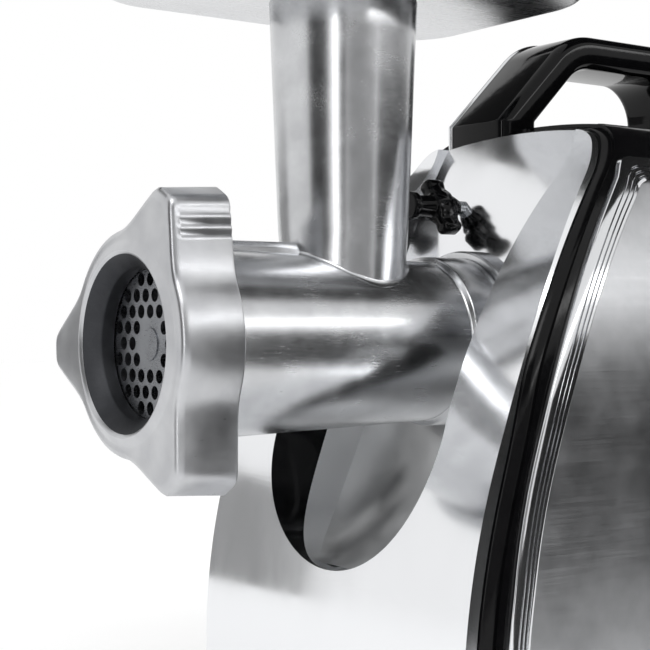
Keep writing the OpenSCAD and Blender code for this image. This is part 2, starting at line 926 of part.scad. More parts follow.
// Frame of the side trim and of the panel in it, seen from the side
module side_2d(inset) {
    corner_r = 30 - inset;
    intersection() {
        profile_2d(mask_t + band_w + inset);
        union() {
            translate([0, trim_low + inset])
                square([trim_rear - inset - corner_r, trim_top - trim_low - 2 * inset]);
            translate([0, trim_low + inset])
                square([trim_rear - inset, trim_top - trim_low - 2 * inset - corner_r]);
            translate([trim_rear - inset - corner_r, trim_top - inset - corner_r]) circle(r = corner_r);
        }
    }
}

module side_skin(side, inner, outer) {
    difference() {
        along_x(front_x, rear_x) outline_2d(outer);
        along_x(front_x - 1, rear_x + 1) outline_2d(inner);
        translate([0, side > 0 ? -body_w : 0, -axis_h]) cube([rear_x + 1, body_w, 400]);
    }
}

module side_trim(side) {
    color("silver") machine() intersection() {
        side_skin(side, 2, 5.5);
        along_y(-body_w, body_w) difference() {
            side_2d(0);
            side_2d(trim_w);
        }
    }
}

module side_panel(side) {
    color("darkgrey") machine() intersection() {
        side_skin(side, 2, 4.3);
        along_y(-body_w, body_w) side_2d(trim_w);
    }
}

module side_trim_right() {
    side_trim(-1);
}

module side_trim_left() {
    side_trim(1);
}

module side_panel_right() {
    difference() {
        side_panel(-1);
        machine() window(-body_w, 0, 0);
    }
}

module side_panel_left() {
    side_panel(1);
}

module base_plate() {
    color("#222224") machine() difference() {
        translate([front_x + mask_t, 1 - half_w, base_z])
            cube([rear_x - shell_t - front_x - mask_t, 2 * half_w - 2, base_t]);
        at_base_screws() translate([0, 0, -1]) cylinder(h = base_t + 2, r = 2);
        for (x = foot_xs) {
            for (y = [-1, 1]) {
                translate([x, y * foot_y, base_z - 1]) cylinder(h = base_t + 2, r = 4);
            }
        }
    }
}

foot_xs = [front_x + 34, rear_x - 34];
foot_y = half_w - 24;

module feet() {
    color("#2a2a2c") machine() for (x = foot_xs) {
        for (y = [-1, 1]) {
            translate([x, y * foot_y, base_z - foot_h]) cylinder(h = foot_h, r1 = 11, r2 = 13);
            translate([x, y * foot_y, base_z - 0.5]) cylinder(h = base_t + 0.5, r = 4);
            translate([x, y * foot_y, base_z + base_t]) cylinder(h = 2.5, r1 = 5, r2 = 3.5);
        }
    }
}

// ---------- Handle, knob and buttons ----------

// Side view of the handle, set in by inset all round. It leaves the brow at 45 degrees.
handle_top = crown_h + finger_gap + handle_t;
handle_back = rear_x - 14;
handle_low = crown_h - 15;
handle_front = brow_x - crown_h + handle_low;
handle_bend = 34;
function handle_outline(inset) =
    let (
        top = handle_top - inset,
        root = handle_front + inset * 1.41,
        back = handle_back - inset,
        bend = handle_bend - inset
    )
    rounded([[root, handle_low], [root + top - handle_low, top], [back, top], [back, handle_low - 16]],
            [0.01, bend, bend, 0.01]);

module handle_loop(y0, y1, outer, inner) {
    along_y(y0, y1) difference() {
        polygon(handle_outline(outer));
        polygon(handle_outline(inner));
        translate([0, -axis_h]) square([rear_x, axis_h + handle_low - 2]);
    }
}

// What the handle stands on, set out by grow
module under_handle(grow) {
    shell_solid();
    along_x(0, rear_x / 2 + 60) outline_2d(grow);
    translate([0, -body_w, -axis_h]) cube([brow_x, 2 * body_w, axis_h + crown_h]);
}

module carry_handle() {
    color("#141416") machine() difference() {
        handle_loop(handle_y - handle_w / 2, handle_y + handle_w / 2, 0, handle_t);
        under_handle(0);
        handle_loop(handle_y - 6, handle_y + 6, -1, 1.2);
    }
}

module handle_inlay() {
    color("silver") machine() difference() {
        handle_loop(handle_y - 6, handle_y + 6, 0.2, 1.2);
        under_handle(3);
    }
}

module rear_grille() {
    color("#18181a") machine() difference() {
        translate([rear_x - shell_t, -grille_w / 2, grille_z - grille_h / 2])
            cube([shell_t, grille_w, grille_h]);
        for (i = [-4:4]) {
            translate([rear_x - 10, -grille_w / 2 + 8, grille_z + i * 7 - 1.5])
                cube([20, grille_w - 16, 3]);
        }
    }
}

module cord_gland() {
    color("#202022") machine() difference() {
        union() {
            bar_x(rear_x - shell_t - 3, rear_x, 8, [0, gland_z]);
            bar_x(rear_x - shell_t - 3, rear_x - shell_t, 11, [0, gland_z]);
        }
        bar_x(rear_x - 10, rear_x + 1, 3.5, [0, gland_z]);
    }
}

module button_bezel() {
    color("#161618") machine() difference() {
        window(-half_w - 5.3, -half_w - 2, 0);
        bar_y(button_x - button_gap / 2, button_d / 2 + face_gap);
        bar_y(button_x + button_gap / 2, button_d * 0.36 + face_gap);
    }
}

// A hole across the right side at the buttons' height
module bar_y(x, r) {
    translate([x, -body_w, button_z]) rotate([-90, 0, 0]) cylinder(h = body_w, r = r);
}

module button(x, r) {
    face = -half_w - 5.4;
    translate([x, face, button_z]) rotate([-90, 0, 0]) {
        cylinder(h = 7, r = r);
        cylinder(h = 14, r = 3);
    }
}

module power_button() {
    color("silver") machine() button(button_x - button_gap / 2, button_d / 2);
}

module reverse_button() {
    color("silver") machine() button(button_x + button_gap / 2, button_d * 0.36);
}

module switch_block() {
    color("dimgrey") machine() {
        for (x = [-1, 1] * button_gap / 2) {
            translate([button_x + x - 10, switch_y, button_z - 8]) cube([20, switch_d, 16]);
        }
        translate([button_x - window_w / 2 - 5, switch_y + switch_d, button_z - 12])
            cube([window_w + 10, 3, 24]);
    }
}

module circuit_board() {
    color("darkgreen") machine() {
        translate([board_x[0], board_y, board_z[0]])
            cube([board_x[1] - board_x[0], 1.6, board_z[1] - board_z[0]]);
        translate([board_x[0] + 12, board_y - 12, -40]) cube([16, 12, 18]);
        translate([board_x[0] + 38, board_y, -30]) rotate([90, 0, 0]) cylinder(h = 16, r = 7);
    }
}

module locking_knob() {
    color("#121214") machine() difference() {
        union() {
            bar_x(144, 147, 6, [knob_y, knob_z]);
            bar_x(147, 159, 4.6, [knob_y, knob_z]);
            bar_x(159, 171, 6.4, [knob_y, knob_z]);
            translate([0, knob_y, knob_z]) rotate([-33, 0, 0]) along_x(160, 170) polygon(
                rounded([[-4.8, 0], [-3, -knob_wing], [3, -knob_wing], [4.8, 0], [3, knob_wing],
                         [-3, knob_wing]], [3, 2.9, 2.9, 3, 2.9, 2.9]));
        }
        bar_x(153, 173, 3, [knob_y, knob_z]);
    }
}

nut_x = 184;

module knob_screw() {
    color("silver") machine() bar_x(153, nut_x + 14, 3, [knob_y, knob_z]);
}

module knob_nut() {
    color("gold") machine() difference() {
        bar_x(nut_x - 10, nut_x + 8, 7.5, [knob_y, knob_z]);
        bar_x(nut_x - 11, nut_x + 9, 3 + run_gap, [knob_y, knob_z]);
        recess(3);
    }
}

// ---------- Fasteners ----------

module case_screws() {
    color("silver") machine() at_case_screws() {
        bar_x(case_split - 8, case_end, 1.4);
        bar_x(case_end, case_end + 2.2, 3);
    }
}

module collar_screws() {
    color("silver") machine() at_collar_screws() {
        bar_x(case_x - 4, case_x + 3, 1.6);
        bar_x(case_x - 6, case_x - 4, 2.6);
    }
}

module base_screws() {
    color("silver") machine() at_base_screws() {
        cylinder(h = base_t + 7.5, r = 2);
        translate([0, 0, -3]) cylinder(h = 3, r = 4);
    }
}

screw_ring();
hole_plate();
feed_head();
head_bush();
thrust_washer();
auger();
knife();
auger_coupling();
output_shaft();
output_gear();
filler_tray();
pusher_body();
pusher_cap();
front_mask();
socket_collar();
housing_right();
housing_left();
side_trim_right();
side_trim_left();
side_panel_right();
side_panel_left();
base_plate();
feet();
carry_handle();
handle_inlay();
rear_grille();
cord_gland();
button_bezel();
power_button();
reverse_button();
switch_block();
circuit_board();
locking_knob();
knob_screw();
knob_nut();
gear_case_front();
gear_case_rear();
second_gear();
second_shaft();
first_gear();
first_shaft();
output_bearing();
motor_stator();
field_coils();
motor_shaft();
armature();
commutator();
cooling_fan();
motor_bearings();
motor_bracket();
brush_holders();
motor_bolts();
case_screws();
collar_screws();
base_screws();
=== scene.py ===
# %% [markdown]
# # An electric meat grinder
# The machine has two halves that a maker treats differently: a cast and polished grinding head, and
# a motor housing whose front is a mirror. The CAD model gives every place and size. This script adds
# what the eye sees: soft edges, fillets, grooves, brushed and polished metal, and gloss plastic.
# %% Load the frame
import math

import bmesh
import bpy
from mathutils import Matrix, Vector


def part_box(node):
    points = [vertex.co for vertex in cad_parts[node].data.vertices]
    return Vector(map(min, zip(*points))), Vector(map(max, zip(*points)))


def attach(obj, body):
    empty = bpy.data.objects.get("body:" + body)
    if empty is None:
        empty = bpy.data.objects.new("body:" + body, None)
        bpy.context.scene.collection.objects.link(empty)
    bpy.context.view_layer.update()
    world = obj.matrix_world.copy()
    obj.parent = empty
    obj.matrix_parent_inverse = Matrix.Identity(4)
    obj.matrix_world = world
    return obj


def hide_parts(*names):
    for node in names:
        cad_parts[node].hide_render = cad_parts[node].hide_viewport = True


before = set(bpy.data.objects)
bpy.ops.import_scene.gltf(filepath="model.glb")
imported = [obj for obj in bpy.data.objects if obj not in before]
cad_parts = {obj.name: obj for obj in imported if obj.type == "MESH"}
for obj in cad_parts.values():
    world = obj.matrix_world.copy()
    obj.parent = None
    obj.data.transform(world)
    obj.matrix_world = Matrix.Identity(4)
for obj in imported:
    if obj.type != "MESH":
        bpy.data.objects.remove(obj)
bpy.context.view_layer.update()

# %% [markdown]
# ## Machine coordinates
# A designer of such a head measures along its axis, so the pieces are drawn in millimetres with
# x = 0 on the screw ring's front face and z = 0 on the grinding axis. One matrix takes them to the
# frame, and its numbers come from the CAD nodes.
# %% Places and driving sizes
MM = 0.001


def cad(node):
    return [[c / MM for c in corner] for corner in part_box(node)]


PLATE = cad("hole_plate")
RING = cad("screw_ring")
# The ring's lip stands this far in front of its front face
LIP = 1.7
AXIS_Z = (PLATE[0][2] + PLATE[1][2]) / 2
RING_X = RING[0][0] + LIP
TO_FRAME = Matrix.Scale(MM, 4) @ Matrix.Translation((RING_X, 0, AXIS_Z))


def local(node):
    """A CAD node's box in machine coordinates."""
    low, high = cad(node)
    shift = (RING_X, 0, AXIS_Z)
    return [low[i] - shift[i] for i in range(3)], [high[i] - shift[i] for i in range(3)]


PLATE_R = (PLATE[1][2] - PLATE[0][2]) / 2
RING_L = RING[1][0] - RING_X
BASE_Z = local("front_mask")[0][2]
CROWN_Z = local("front_mask")[1][2]
FRONT_X = local("front_mask")[0][0]
HALF_W = local("front_mask")[1][1]
REAR_X = local("housing_right")[1][0]
NECK_TOP = local("feed_head")[1][2]
NECK_X = sum(local("pusher_body")[i][0] for i in (0, 1)) / 2
print("axis height", AXIS_Z, "housing", FRONT_X, REAR_X, HALF_W, BASE_Z, CROWN_Z, "neck", NECK_X)

# %% [markdown]
# ## Tools for the mesh work
# Many parts of a machine are a section that changes along a path: a handle, a rolled rim, a ring with
# ears. They can be extruded, skinned from curves, or lofted. Here they are lofted: loops of vertices
# are joined with bridge_loops, so that every section is drawn as it is measured.
# %% Loops and lofts


def loop_of(bm, points, closed=True):
    verts = [bm.verts.new(p) for p in points]
    pairs = list(zip(verts, verts[1:] + verts[:1])) if closed else list(zip(verts, verts[1:]))
    return [bm.edges.new(pair) for pair in pairs]


def loft(bm, loops, closed=True):
    """Joins loops of equally many points and returns the edges of the first and the last one.

    Each band gets two loops of its own, because a bridge may turn round where a loop already has
    faces. Merging doubles later closes the bands into one skin.
    """
    ends = []
    for near, far in zip(loops, loops[1:]):
        band = [loop_of(bm, near, closed), loop_of(bm, far, closed)]
        bmesh.ops.bridge_loops(bm, edges=band[0] + band[1])
        ends += band
    return ends[0], ends[-1]

# %% [markdown]
# ### Turned shapes
# A barrel, a button or a knob comes off a lathe, and spin does what the lathe does. Only half a section
# is drawn. A full spin merges its last step with its first, so that no seam is left.
# %% Turned shapes


def turn(bm, section, axis="x", centre=(0, 0, 0), steps=96, closed=True):
    """Spins a section of (along, radius) points round a line through centre."""
    place = Vector(centre)
    directions = Vector((1, 0, 0)), Vector((0, 0, 1))
    along, out = directions if axis == "x" else directions[::-1]
    edges = loop_of(bm, [place + along * a + out * r for a, r in section], closed)
    verts = list({v for e in edges for v in e.verts})
    bmesh.ops.spin(bm, geom=verts + edges, cent=place, axis=along, dvec=(0, 0, 0),
                   angle=math.tau, steps=steps, use_merge=True)

# %% [markdown]
# ### Rounded sections
# No cast or moulded corner is sharp. A Bevel modifier could round them later, but a corner that is
# rounded in the section keeps its own radius, so each one can be as large as on the real part.
# %% Rounded sections


def rounded_section(points, segments=5):
    """A section of (along, radius, corner) points with each corner turned into an arc."""
    out = []
    count = len(points)
    for i, (a, r, corner) in enumerate(points):
        here = Vector((a, r))
        before = Vector(points[i - 1][:2]) - here
        after = Vector(points[(i + 1) % count][:2]) - here
        if corner <= 0:
            out.append((a, r))
            continue
        half = before.angle(after) / 2
        reach = min(corner / math.tan(half), before.length * 0.49, after.length * 0.49)
        radius = reach * math.tan(half)
        middle = here + (before.normalized() + after.normalized()).normalized() * (radius / math.sin(half))
        start = here + before.normalized() * reach - middle
        end = here + after.normalized() * reach - middle
        sweep = start.angle_signed(end)
        for k in range(segments + 1):
            turned = start.copy()
            turned.rotate(Matrix.Rotation(-sweep * k / segments, 2))
            out.append(tuple(middle + turned))
    return out

# %% [markdown]
# ### Level cuts and pulled edges
# A skin that curves only with its height starts as one flat face. It could be a dense grid, but
# bisect_plane cuts just the levels that the curve needs and leaves the outline as it was drawn.
# Pulling the edges of such a skin gives it its returns.
# %% Level cuts and pulled edges


def slice_levels(bm, low, high, step):
    """Cuts all faces at even heights, so that they can follow a curve."""
    count = max(1, round((high - low) / step))
    for i in range(1, count):
        z = low + (high - low) * i / count
        geom = bm.verts[:] + bm.edges[:] + bm.faces[:]
        bmesh.ops.bisect_plane(bm, geom=geom, dist=1e-5, plane_co=(0, 0, z), plane_no=(0, 0, 1))


def extrude_edges(bm, edges):
    """Extrudes an edge chain and returns the new edges and vertices."""
    made = bmesh.ops.extrude_edge_only(bm, edges=edges)["geom"]
    return ([g for g in made if isinstance(g, bmesh.types.BMEdge)],
            [g for g in made if isinstance(g, bmesh.types.BMVert)])

# %% [markdown]
# ### Finishing a piece
# Every piece leaves the workshop the same way: seams merged, faces turned out, carried to the frame,
# smooth but for its crisp edges, and fixed to the body that it moves with. One function does it, so
# that no piece misses a step.
# %% Finishing a piece


def make_piece(bm, name, body, material, replaces=(), crisp=32, outward=True):
    """Finishes a bmesh in machine coordinates as a piece that rides on a body."""
    bmesh.ops.remove_doubles(bm, verts=bm.verts[:], dist=1e-3)
    if outward:
        bmesh.ops.recalc_face_normals(bm, faces=bm.faces[:])
    bmesh.ops.transform(bm, matrix=TO_FRAME, verts=bm.verts[:])
    mesh = bpy.data.meshes.new(name)
    bm.to_mesh(mesh)
    bm.free()
    piece = bpy.data.objects.new(name, mesh)
    bpy.context.scene.collection.objects.link(piece)
    mesh.shade_smooth()
    mesh.set_sharp_from_angle(angle=math.radians(crisp))
    mesh.materials.append(material)
    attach(piece, body)
    if replaces:
        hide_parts(*replaces)
    print(name, len(mesh.vertices), "vertices")
    return piece

# %% [markdown]
# ### Soft edges and walls
# Moulded parts have an even wall and small rounds that catch the light. Both could be modelled by hand.
# Modifiers keep the mesh light and let one number set each of them.
# %% Soft edges and walls


def add_modifier(piece, kind, **settings):
    modifier = piece.modifiers.new(kind.title(), kind)
    for key, value in settings.items():
        setattr(modifier, key, value)
    return modifier


def soften(piece, width, segments=3, angle=30):
    """A moulded or tumbled edge: every corner sharper than angle gets a small round."""
    add_modifier(piece, "BEVEL", width=width * MM, segments=segments, limit_method="ANGLE",
                 angle_limit=math.radians(angle), harden_normals=True, miter_outer="MITER_ARC")


def thicken(piece, thickness, even=True):
    """Gives a skin its wall; even keeps the wall equally thick at corners."""
    add_modifier(piece, "SOLIDIFY", thickness=thickness * MM, offset=-1.0, use_even_offset=even)


# %% [markdown]
# ## Materials
# Each finish is named for what the real one is and how its surface was made. Patterns read object
# coordinates in metres, so a scale is one over the size of the pattern.
# %% Material tools


def colour(code):
    """sRGB hex to linear RGBA."""
    parts = [int(code[i:i + 2], 16) / 255 for i in (1, 3, 5)]
    return [c / 12.92 if c <= 0.04045 else ((c + 0.055) / 1.055) ** 2.4 for c in parts] + [1.0]


def node(tree, kind, settings=None, inputs=None, links=None):
    """Adds a node, sets its properties and inputs, and links its inputs to other sockets."""
    made = tree.nodes.new(kind)
    for key, value in (settings or {}).items():
        setattr(made, key, value)
    for key, value in (inputs or {}).items():
        made.inputs[key].default_value = value
    for key, socket in (links or {}).items():
        tree.links.new(socket, made.inputs[key])
    return made


def new_material(name, **shader):
    """A material with its Principled shader's own sockets set."""
    material = bpy.data.materials.new(name)
    material.use_nodes = True
    tree = material.node_tree
    tree.nodes.clear()
    principled = node(tree, "ShaderNodeBsdfPrincipled", inputs=shader)
    node(tree, "ShaderNodeOutputMaterial", links={"Surface": principled.outputs[0]})
    place = node(tree, "ShaderNodeTexCoord").outputs["Object"]
    return material, tree, principled, place

# %% [markdown]
# ### Patterns
# Real surfaces vary: brushed lines, cloudy polish, orange peel. An image could hold that, but noise on
# object coordinates has no seams and stays the same size on every piece. One helper makes a pattern,
# and one lets patterns drive the roughness, the relief and the shade of a surface.
# %% Patterns


def grain(tree, place, size, stretch=(1, 1, 1), detail=3.0):
    """Noise whose cells are size millimetres wide, drawn out along the axes where stretch is under 1."""
    mapped = node(tree, "ShaderNodeMapping", inputs={"Scale": stretch}, links={"Vector": place})
    noise = node(tree, "ShaderNodeTexNoise", inputs={"Scale": 1 / (size * MM), "Detail": detail},
                 links={"Vector": mapped.outputs[0]})
    return noise.outputs["Fac"]


# Noise seldom leaves this part of its range
NOISE_RANGE = {"From Min": 0.3, "From Max": 0.7}


def dress(tree, principled, rough, relief, shades=None):
    """Lets patterns drive a shader.

    rough is (pattern, lowest, highest), relief is (pattern, depth in millimetres), and shades is
    (pattern, dark, light).
    """
    pattern, low, high = rough
    limits = node(tree, "ShaderNodeMapRange", inputs={**NOISE_RANGE, "To Min": low, "To Max": high},
                  links={"Value": pattern})
    tree.links.new(limits.outputs[0], principled.inputs["Roughness"])
    pattern, depth = relief
    raised = node(tree, "ShaderNodeBump", inputs={"Strength": 1.0, "Distance": depth * MM},
                  links={"Height": pattern})
    tree.links.new(raised.outputs[0], principled.inputs["Normal"])
    if shades:
        pattern, dark, light = shades
        share = node(tree, "ShaderNodeMapRange", inputs={**NOISE_RANGE, "To Min": 0.0, "To Max": 1.0},
                     links={"Value": pattern})
        mix = node(tree, "ShaderNodeMix", {"data_type": "RGBA"}, links={"Factor": share.outputs[0]})
        mix.inputs["A"].default_value = colour(dark)
        mix.inputs["B"].default_value = colour(light)
        tree.links.new(mix.outputs["Result"], principled.inputs["Base Color"])


# %% [markdown]
# ### Metals
# Polished metal is never even: the belt leaves fine lines and the buff leaves clouds. A flat roughness
# would look like paint. Here clouds of 14 mm mix two shades, and clouds and lines together set the
# roughness, which is what blurs a highlight in one place and sharpens it in the next.
# %% Buffed metal


def buffed_metal(name, dark, light, rough_low, rough_high, line, stretch, relief):
    material, tree, principled, place = new_material(name, Metallic=1.0)
    cloud = grain(tree, place, 14)
    lines = grain(tree, place, line, stretch, 2.0)
    both = node(tree, "ShaderNodeMath", {"operation": "ADD"}, links={0: cloud, 1: lines})
    half = node(tree, "ShaderNodeMath", {"operation": "MULTIPLY"}, {1: 0.5}, {0: both.outputs[0]})
    dress(tree, principled, (half.outputs[0], rough_low, rough_high), (lines, relief), (cloud, dark, light))
    return material

# %% [markdown]
# ### Metals that show
# The head is cast aluminium, belt-polished along its length and then buffed. The ring is the same
# casting with a duller satin finish, and its bore stays as cast, dark with painted shade. The tray is
# pressed sheet. The side panels are stainless sheet, brushed along the machine: their lines are drawn
# 0.35 mm wide and a hundred times as long, coarser than real ones so that they show.
# %% Metals that show
# Soft, wide highlights with dark bands between them
CAST = buffed_metal("buffed_cast_aluminium", "#BDBEC0", "#CFD0D2", 0.20, 0.29, 0.5, (0.08, 1, 1), 0.004)
# Duller and greyer, so that the grip ears read as a rougher part
RING_CAST = buffed_metal("satin_cast_aluminium", "#B4B5B8", "#C6C7C9", 0.27, 0.36, 0.5, (0.08, 1, 1), 0.006)
# Matt: the skin that the mould leaves. Its dark colour is painted shade for the shadowed inside of the
# ring's mouth
AS_CAST_PAINTED_SHADE = buffed_metal("unpolished_aluminium_painted_shade", "#3C3D40", "#4A4B4E", 0.45, 0.6, 0.8, (1, 1, 1), 0.03)
# A broad soft gradient with fine lines along the machine
STEEL_SHEET = buffed_metal("brushed_stainless_sheet", "#A9AAAC", "#B9BABC", 0.28, 0.40, 0.35,
                           (0.01, 1, 1), 0.006)
# Brighter than the casting, with faint rolling lines
TRAY_METAL = buffed_metal("pressed_aluminium_sheet", "#C6C7C9", "#D4D5D7", 0.22, 0.34, 0.5,
                          (0.05, 1, 1), 0.005)

# %% [markdown]
# ### Metals of the works
# Inside are tool steel, shafts, zinc castings, bronze bushes, the motor's stacked sheets and its wire.
# They are hardly seen, but a part that is opened or looked into should hold up, so each has its own
# grey and its own finish.
# %% Metals of the works
# Ground faces, with lines across the cut
GROUND = buffed_metal("ground_tool_steel", "#8E9094", "#A6A8AC", 0.22, 0.36, 0.3, (1, 0.1, 1), 0.006)
# Turned: fine lines round the shaft
SHAFT = buffed_metal("turned_shaft_steel", "#8B8D90", "#A0A2A5", 0.20, 0.34, 0.3, (1, 0.2, 0.2), 0.004)
# Grey and slightly pebbled, as it comes out of the die
DIE_CAST = buffed_metal("die_cast_zamak", "#85878A", "#9A9C9F", 0.38, 0.52, 0.9, (1, 1, 1), 0.02)
# Bright with a faint mottle
ZINC = buffed_metal("zinc_plated_screws", "#A3A5A6", "#BFC1C2", 0.24, 0.36, 0.5, (1, 1, 1), 0.004)
# Warm brown and porous
BRONZE = buffed_metal("sintered_bronze", "#8A5A33", "#A8733F", 0.36, 0.5, 0.4, (1, 1, 1), 0.01)
# Thin sheets side by side give ridges across the axis
LAMINATION = buffed_metal("stacked_lamination_steel", "#4A4B50", "#5A5B60", 0.42, 0.55, 0.6,
                          (1, 0.02, 0.02), 0.05)
# Red-brown enamel on round wire
COPPER = buffed_metal("enamelled_copper_wire", "#8A3F1C", "#B4602C", 0.25, 0.4, 0.8, (1, 0.05, 1), 0.08)

# %% [markdown]
# ### Chromium plate
# The front and the trims are moulded ABS with a bright chromium plate: a mirror, but one that follows
# the small sink marks of the moulding. Roughness near zero would look computed, so wiping marks vary
# it a little, and a wave of 30 mm bends the reflections. The scoop's face is plated unpolished.
# %% Chromium plate


def mirror(name, code, rough, wave):
    material, tree, principled, place = new_material(name, Metallic=1.0)
    principled.inputs["Base Color"].default_value = colour(code)
    wipe = grain(tree, place, 22, (1, 1, 0.4))
    sink = grain(tree, place, 30, detail=0.0)
    dress(tree, principled, (wipe, rough * 0.7, rough * 1.3), (sink, wave))
    return material


# A clear reflection of the head and the knob
CHROME = mirror("chromium_plated_abs", "#EBECEE", 0.12, 0.003)
# Bright, but too rough to show a picture
SATIN_CHROME = mirror("satin_chromium_plate", "#F0F1F2", 0.42, 0.003)
# Sharper and darker, so that the grooves draw thin lines
TRIM_CHROME = mirror("polished_chrome_trim", "#D9DADC", 0.09, 0.005)
print(len(bpy.data.materials), "metals")

# %% [markdown]
# ### Plastics and rubber
# A moulded plastic takes its finish from the mould: gloss ABS from a polished one, with a faint orange
# peel, grained ABS from a spark-eroded one. One function takes two shades, a range of roughness, and
# the width and depth of the relief. The black parts reflect little, so their specular level is low.
# %% Plastics


def plastic(name, dark, light, rough_low, rough_high, cell, relief, **shader):
    material, tree, principled, place = new_material(name, **shader)
    cloud = grain(tree, place, 9)
    fine = grain(tree, place, cell, detail=1.0)
    dress(tree, principled, (fine, rough_low, rough_high), (fine, relief), (cloud, dark, light))
    return material


# Nearly black, with sharp highlights
GLOSS_BLACK = plastic("moulded_gloss_abs", "#050506", "#080809", 0.05, 0.10, 3.0, 0.006,
                      **{"Specular IOR Level": 0.16})
# The same plastic from a less polished mould: softer highlights on the large shells
SHELL_BLACK = plastic("moulded_black_abs", "#060607", "#0A0A0B", 0.10, 0.17, 2.0, 0.006,
                      **{"Specular IOR Level": 0.16})
# Matt dark grey with a fine grain of 0.5 mm
GRAINED = plastic("spark_grained_abs", "#141416", "#1B1B1E", 0.45, 0.6, 0.5, 0.04, IOR=1.53)
# Dull and soft, with no clear highlight
RUBBER = plastic("nitrile_rubber", "#151516", "#1D1D1F", 0.6, 0.8, 0.4, 0.03, IOR=1.5)
# Waxy off-white, as gears are
ACETAL = plastic("moulded_acetal", "#DDDCD2", "#E8E7DE", 0.3, 0.42, 0.8, 0.01, IOR=1.48)
# Green lacquer over copper tracks
BOARD = plastic("solder_masked_board", "#0F4A25", "#17602F", 0.25, 0.4, 1.5, 0.03, IOR=1.5)
# Brown-black and slightly mottled, for parts that get warm
PHENOLIC = plastic("moulded_phenolic", "#201A17", "#2C2420", 0.35, 0.5, 0.8, 0.02, IOR=1.55)
print(len(bpy.data.materials), "materials")

# %% [markdown]
# ## The hidden works
# Gears, shafts, screws and the motor keep their CAD shape, which is already right. They could be
# modelled again with softer edges, but nobody sees them from outside, so they only take the materials
# that the real ones are made of.
# %% Materials of the CAD nodes that stay
STAYING = {
    ACETAL: ("thrust_washer", "auger_coupling", "output_gear", "second_gear", "first_gear"),
    SHAFT: ("output_shaft", "second_shaft", "first_shaft", "motor_shaft", "motor_bearings",
            "knob_screw"),
    GROUND: ("hole_plate", "knife", "auger"),
    BRONZE: ("head_bush", "output_bearing", "knob_nut", "commutator"),
    DIE_CAST: ("gear_case_front", "gear_case_rear", "motor_bracket"),
    LAMINATION: ("motor_stator",),
    COPPER: ("field_coils", "armature"),
    PHENOLIC: ("cooling_fan", "brush_holders", "switch_block"),
    BOARD: ("circuit_board",),
    ZINC: ("motor_bolts", "case_screws", "collar_screws", "base_screws"),
    GRAINED: ("base_plate", "rear_grille", "cord_gland"),
    RUBBER: ("feet",),
}
for material, names in STAYING.items():
    for name in names:
        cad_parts[name].data.materials.clear()
        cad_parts[name].data.materials.append(material)
print(sum(len(names) for names in STAYING.values()), "CAD nodes keep their shape")

# %% [markdown]
# ## The screw ring
# The ring is a casting that is screwed on by hand, so it has three grip ears. Its outline could be
# drawn from tangent arcs. A formula is shorter: the radius of a round rises to each ear in a curve and
# ends in a flat tip, and averaging over a few degrees gives the tip its rounded corners.
# %% Ring outline
EAR_ANGLES = (117, 237, 357)
EAR_H = 18.0
EAR_TIP = 10.5
EAR_RUNOUT = 30.0
RING_R = 41.6
RING_DRAFT = 1.5
RING_POINTS = 360


def away(a, b):
    return abs((a - b + 540) % 360 - 180)


def ear_rise(angle):
    tip = math.degrees(math.asin(EAR_TIP / 2 / (RING_R + EAR_H)))
    d = min(away(angle, ear) for ear in EAR_ANGLES)
    if d <= tip:
        return 1.0
    return max(0.0, 1 - (d - tip) / EAR_RUNOUT) ** 2


def soft_rise(angle):
    """The rise with its corners rounded, as an average over a few degrees."""
    return sum(ear_rise(angle + d) for d in (-2, -1.3, -0.6, 0, 0.6, 1.3, 2)) / 7


def groove(angle):
    """1 in the three grip grooves on one flank of each ear."""
    ear = min(EAR_ANGLES, key=lambda a: away(angle, a))
    d = (angle - ear + 540) % 360 - 180
    return max(0.0, 1 - min(abs(d - at) for at in (8.0, 11.0, 14.0)) / 0.9)


def ring_loop(x, inset, grooved=0.0):
    draft = RING_DRAFT * x / RING_L
    points = []
    for i in range(RING_POINTS):
        angle = 360 * i / RING_POINTS
        r = RING_R + EAR_H * soft_rise(angle) * (1 - inset / 26) + draft - inset - grooved * groove(angle)
        points.append((x, r * math.cos(math.radians(angle)), r * math.sin(math.radians(angle))))
    return points


def round_loop(x, r):
    return [(x, r * math.cos(math.tau * i / RING_POINTS), r * math.sin(math.tau * i / RING_POINTS))
            for i in range(RING_POINTS)]


print("ring", 2 * RING_R, "mm across, ears out to", RING_R + EAR_H, "mm")

# %% [markdown]
# ### Ring body
# The outline is repeated along the axis, a little larger towards the rear, because a casting needs
# draft to leave its mould. It then turns in to the bore and comes back to the front lip, so that one
# loft closes on itself. The bore is left as cast, and is a second material on the same piece, whose
# dark colour is painted shade for the shadowed inside of the ring's mouth.
# %% Ring body
OUTLET_R = PLATE_R - 3.5
THREAD_R = PLATE_R + 4.8
bm = bmesh.new()
loops = [ring_loop(0.0, 2.6), ring_loop(0.25, 1.4), ring_loop(0.9, 0.5), ring_loop(1.9, 0.0),
         ring_loop(4.0, 0.0), ring_loop(4.6, 0.0, 0.8), ring_loop(RING_L - 1.2, 0.0, 0.8),
         ring_loop(RING_L - 0.4, 0.35, 0.6), ring_loop(RING_L, 1.2, 0.4),
         round_loop(RING_L, THREAD_R + 1.0), round_loop(RING_L - 1.0, THREAD_R),
         round_loop(10.0, THREAD_R), round_loop(10.0, OUTLET_R), round_loop(5.4, OUTLET_R),
         round_loop(4.4, OUTLET_R + 0.3), round_loop(-0.6, THREAD_R - 3.3),
         round_loop(-LIP + 0.3, THREAD_R - 2.6), round_loop(-LIP, THREAD_R - 2.0),
         round_loop(-LIP + 0.2, THREAD_R - 1.3), round_loop(-0.3, THREAD_R + 0.9),
         round_loop(0.0, THREAD_R + 1.9)]
loft(bm, loops + [loops[0]])
screw_ring = make_piece(bm, "cast_screw_ring", "ring", RING_CAST, ("screw_ring",), crisp=40)
# The inside of the ring's mouth takes the as-cast finish, darkened as painted shade
screw_ring.data.materials.append(AS_CAST_PAINTED_SHADE)
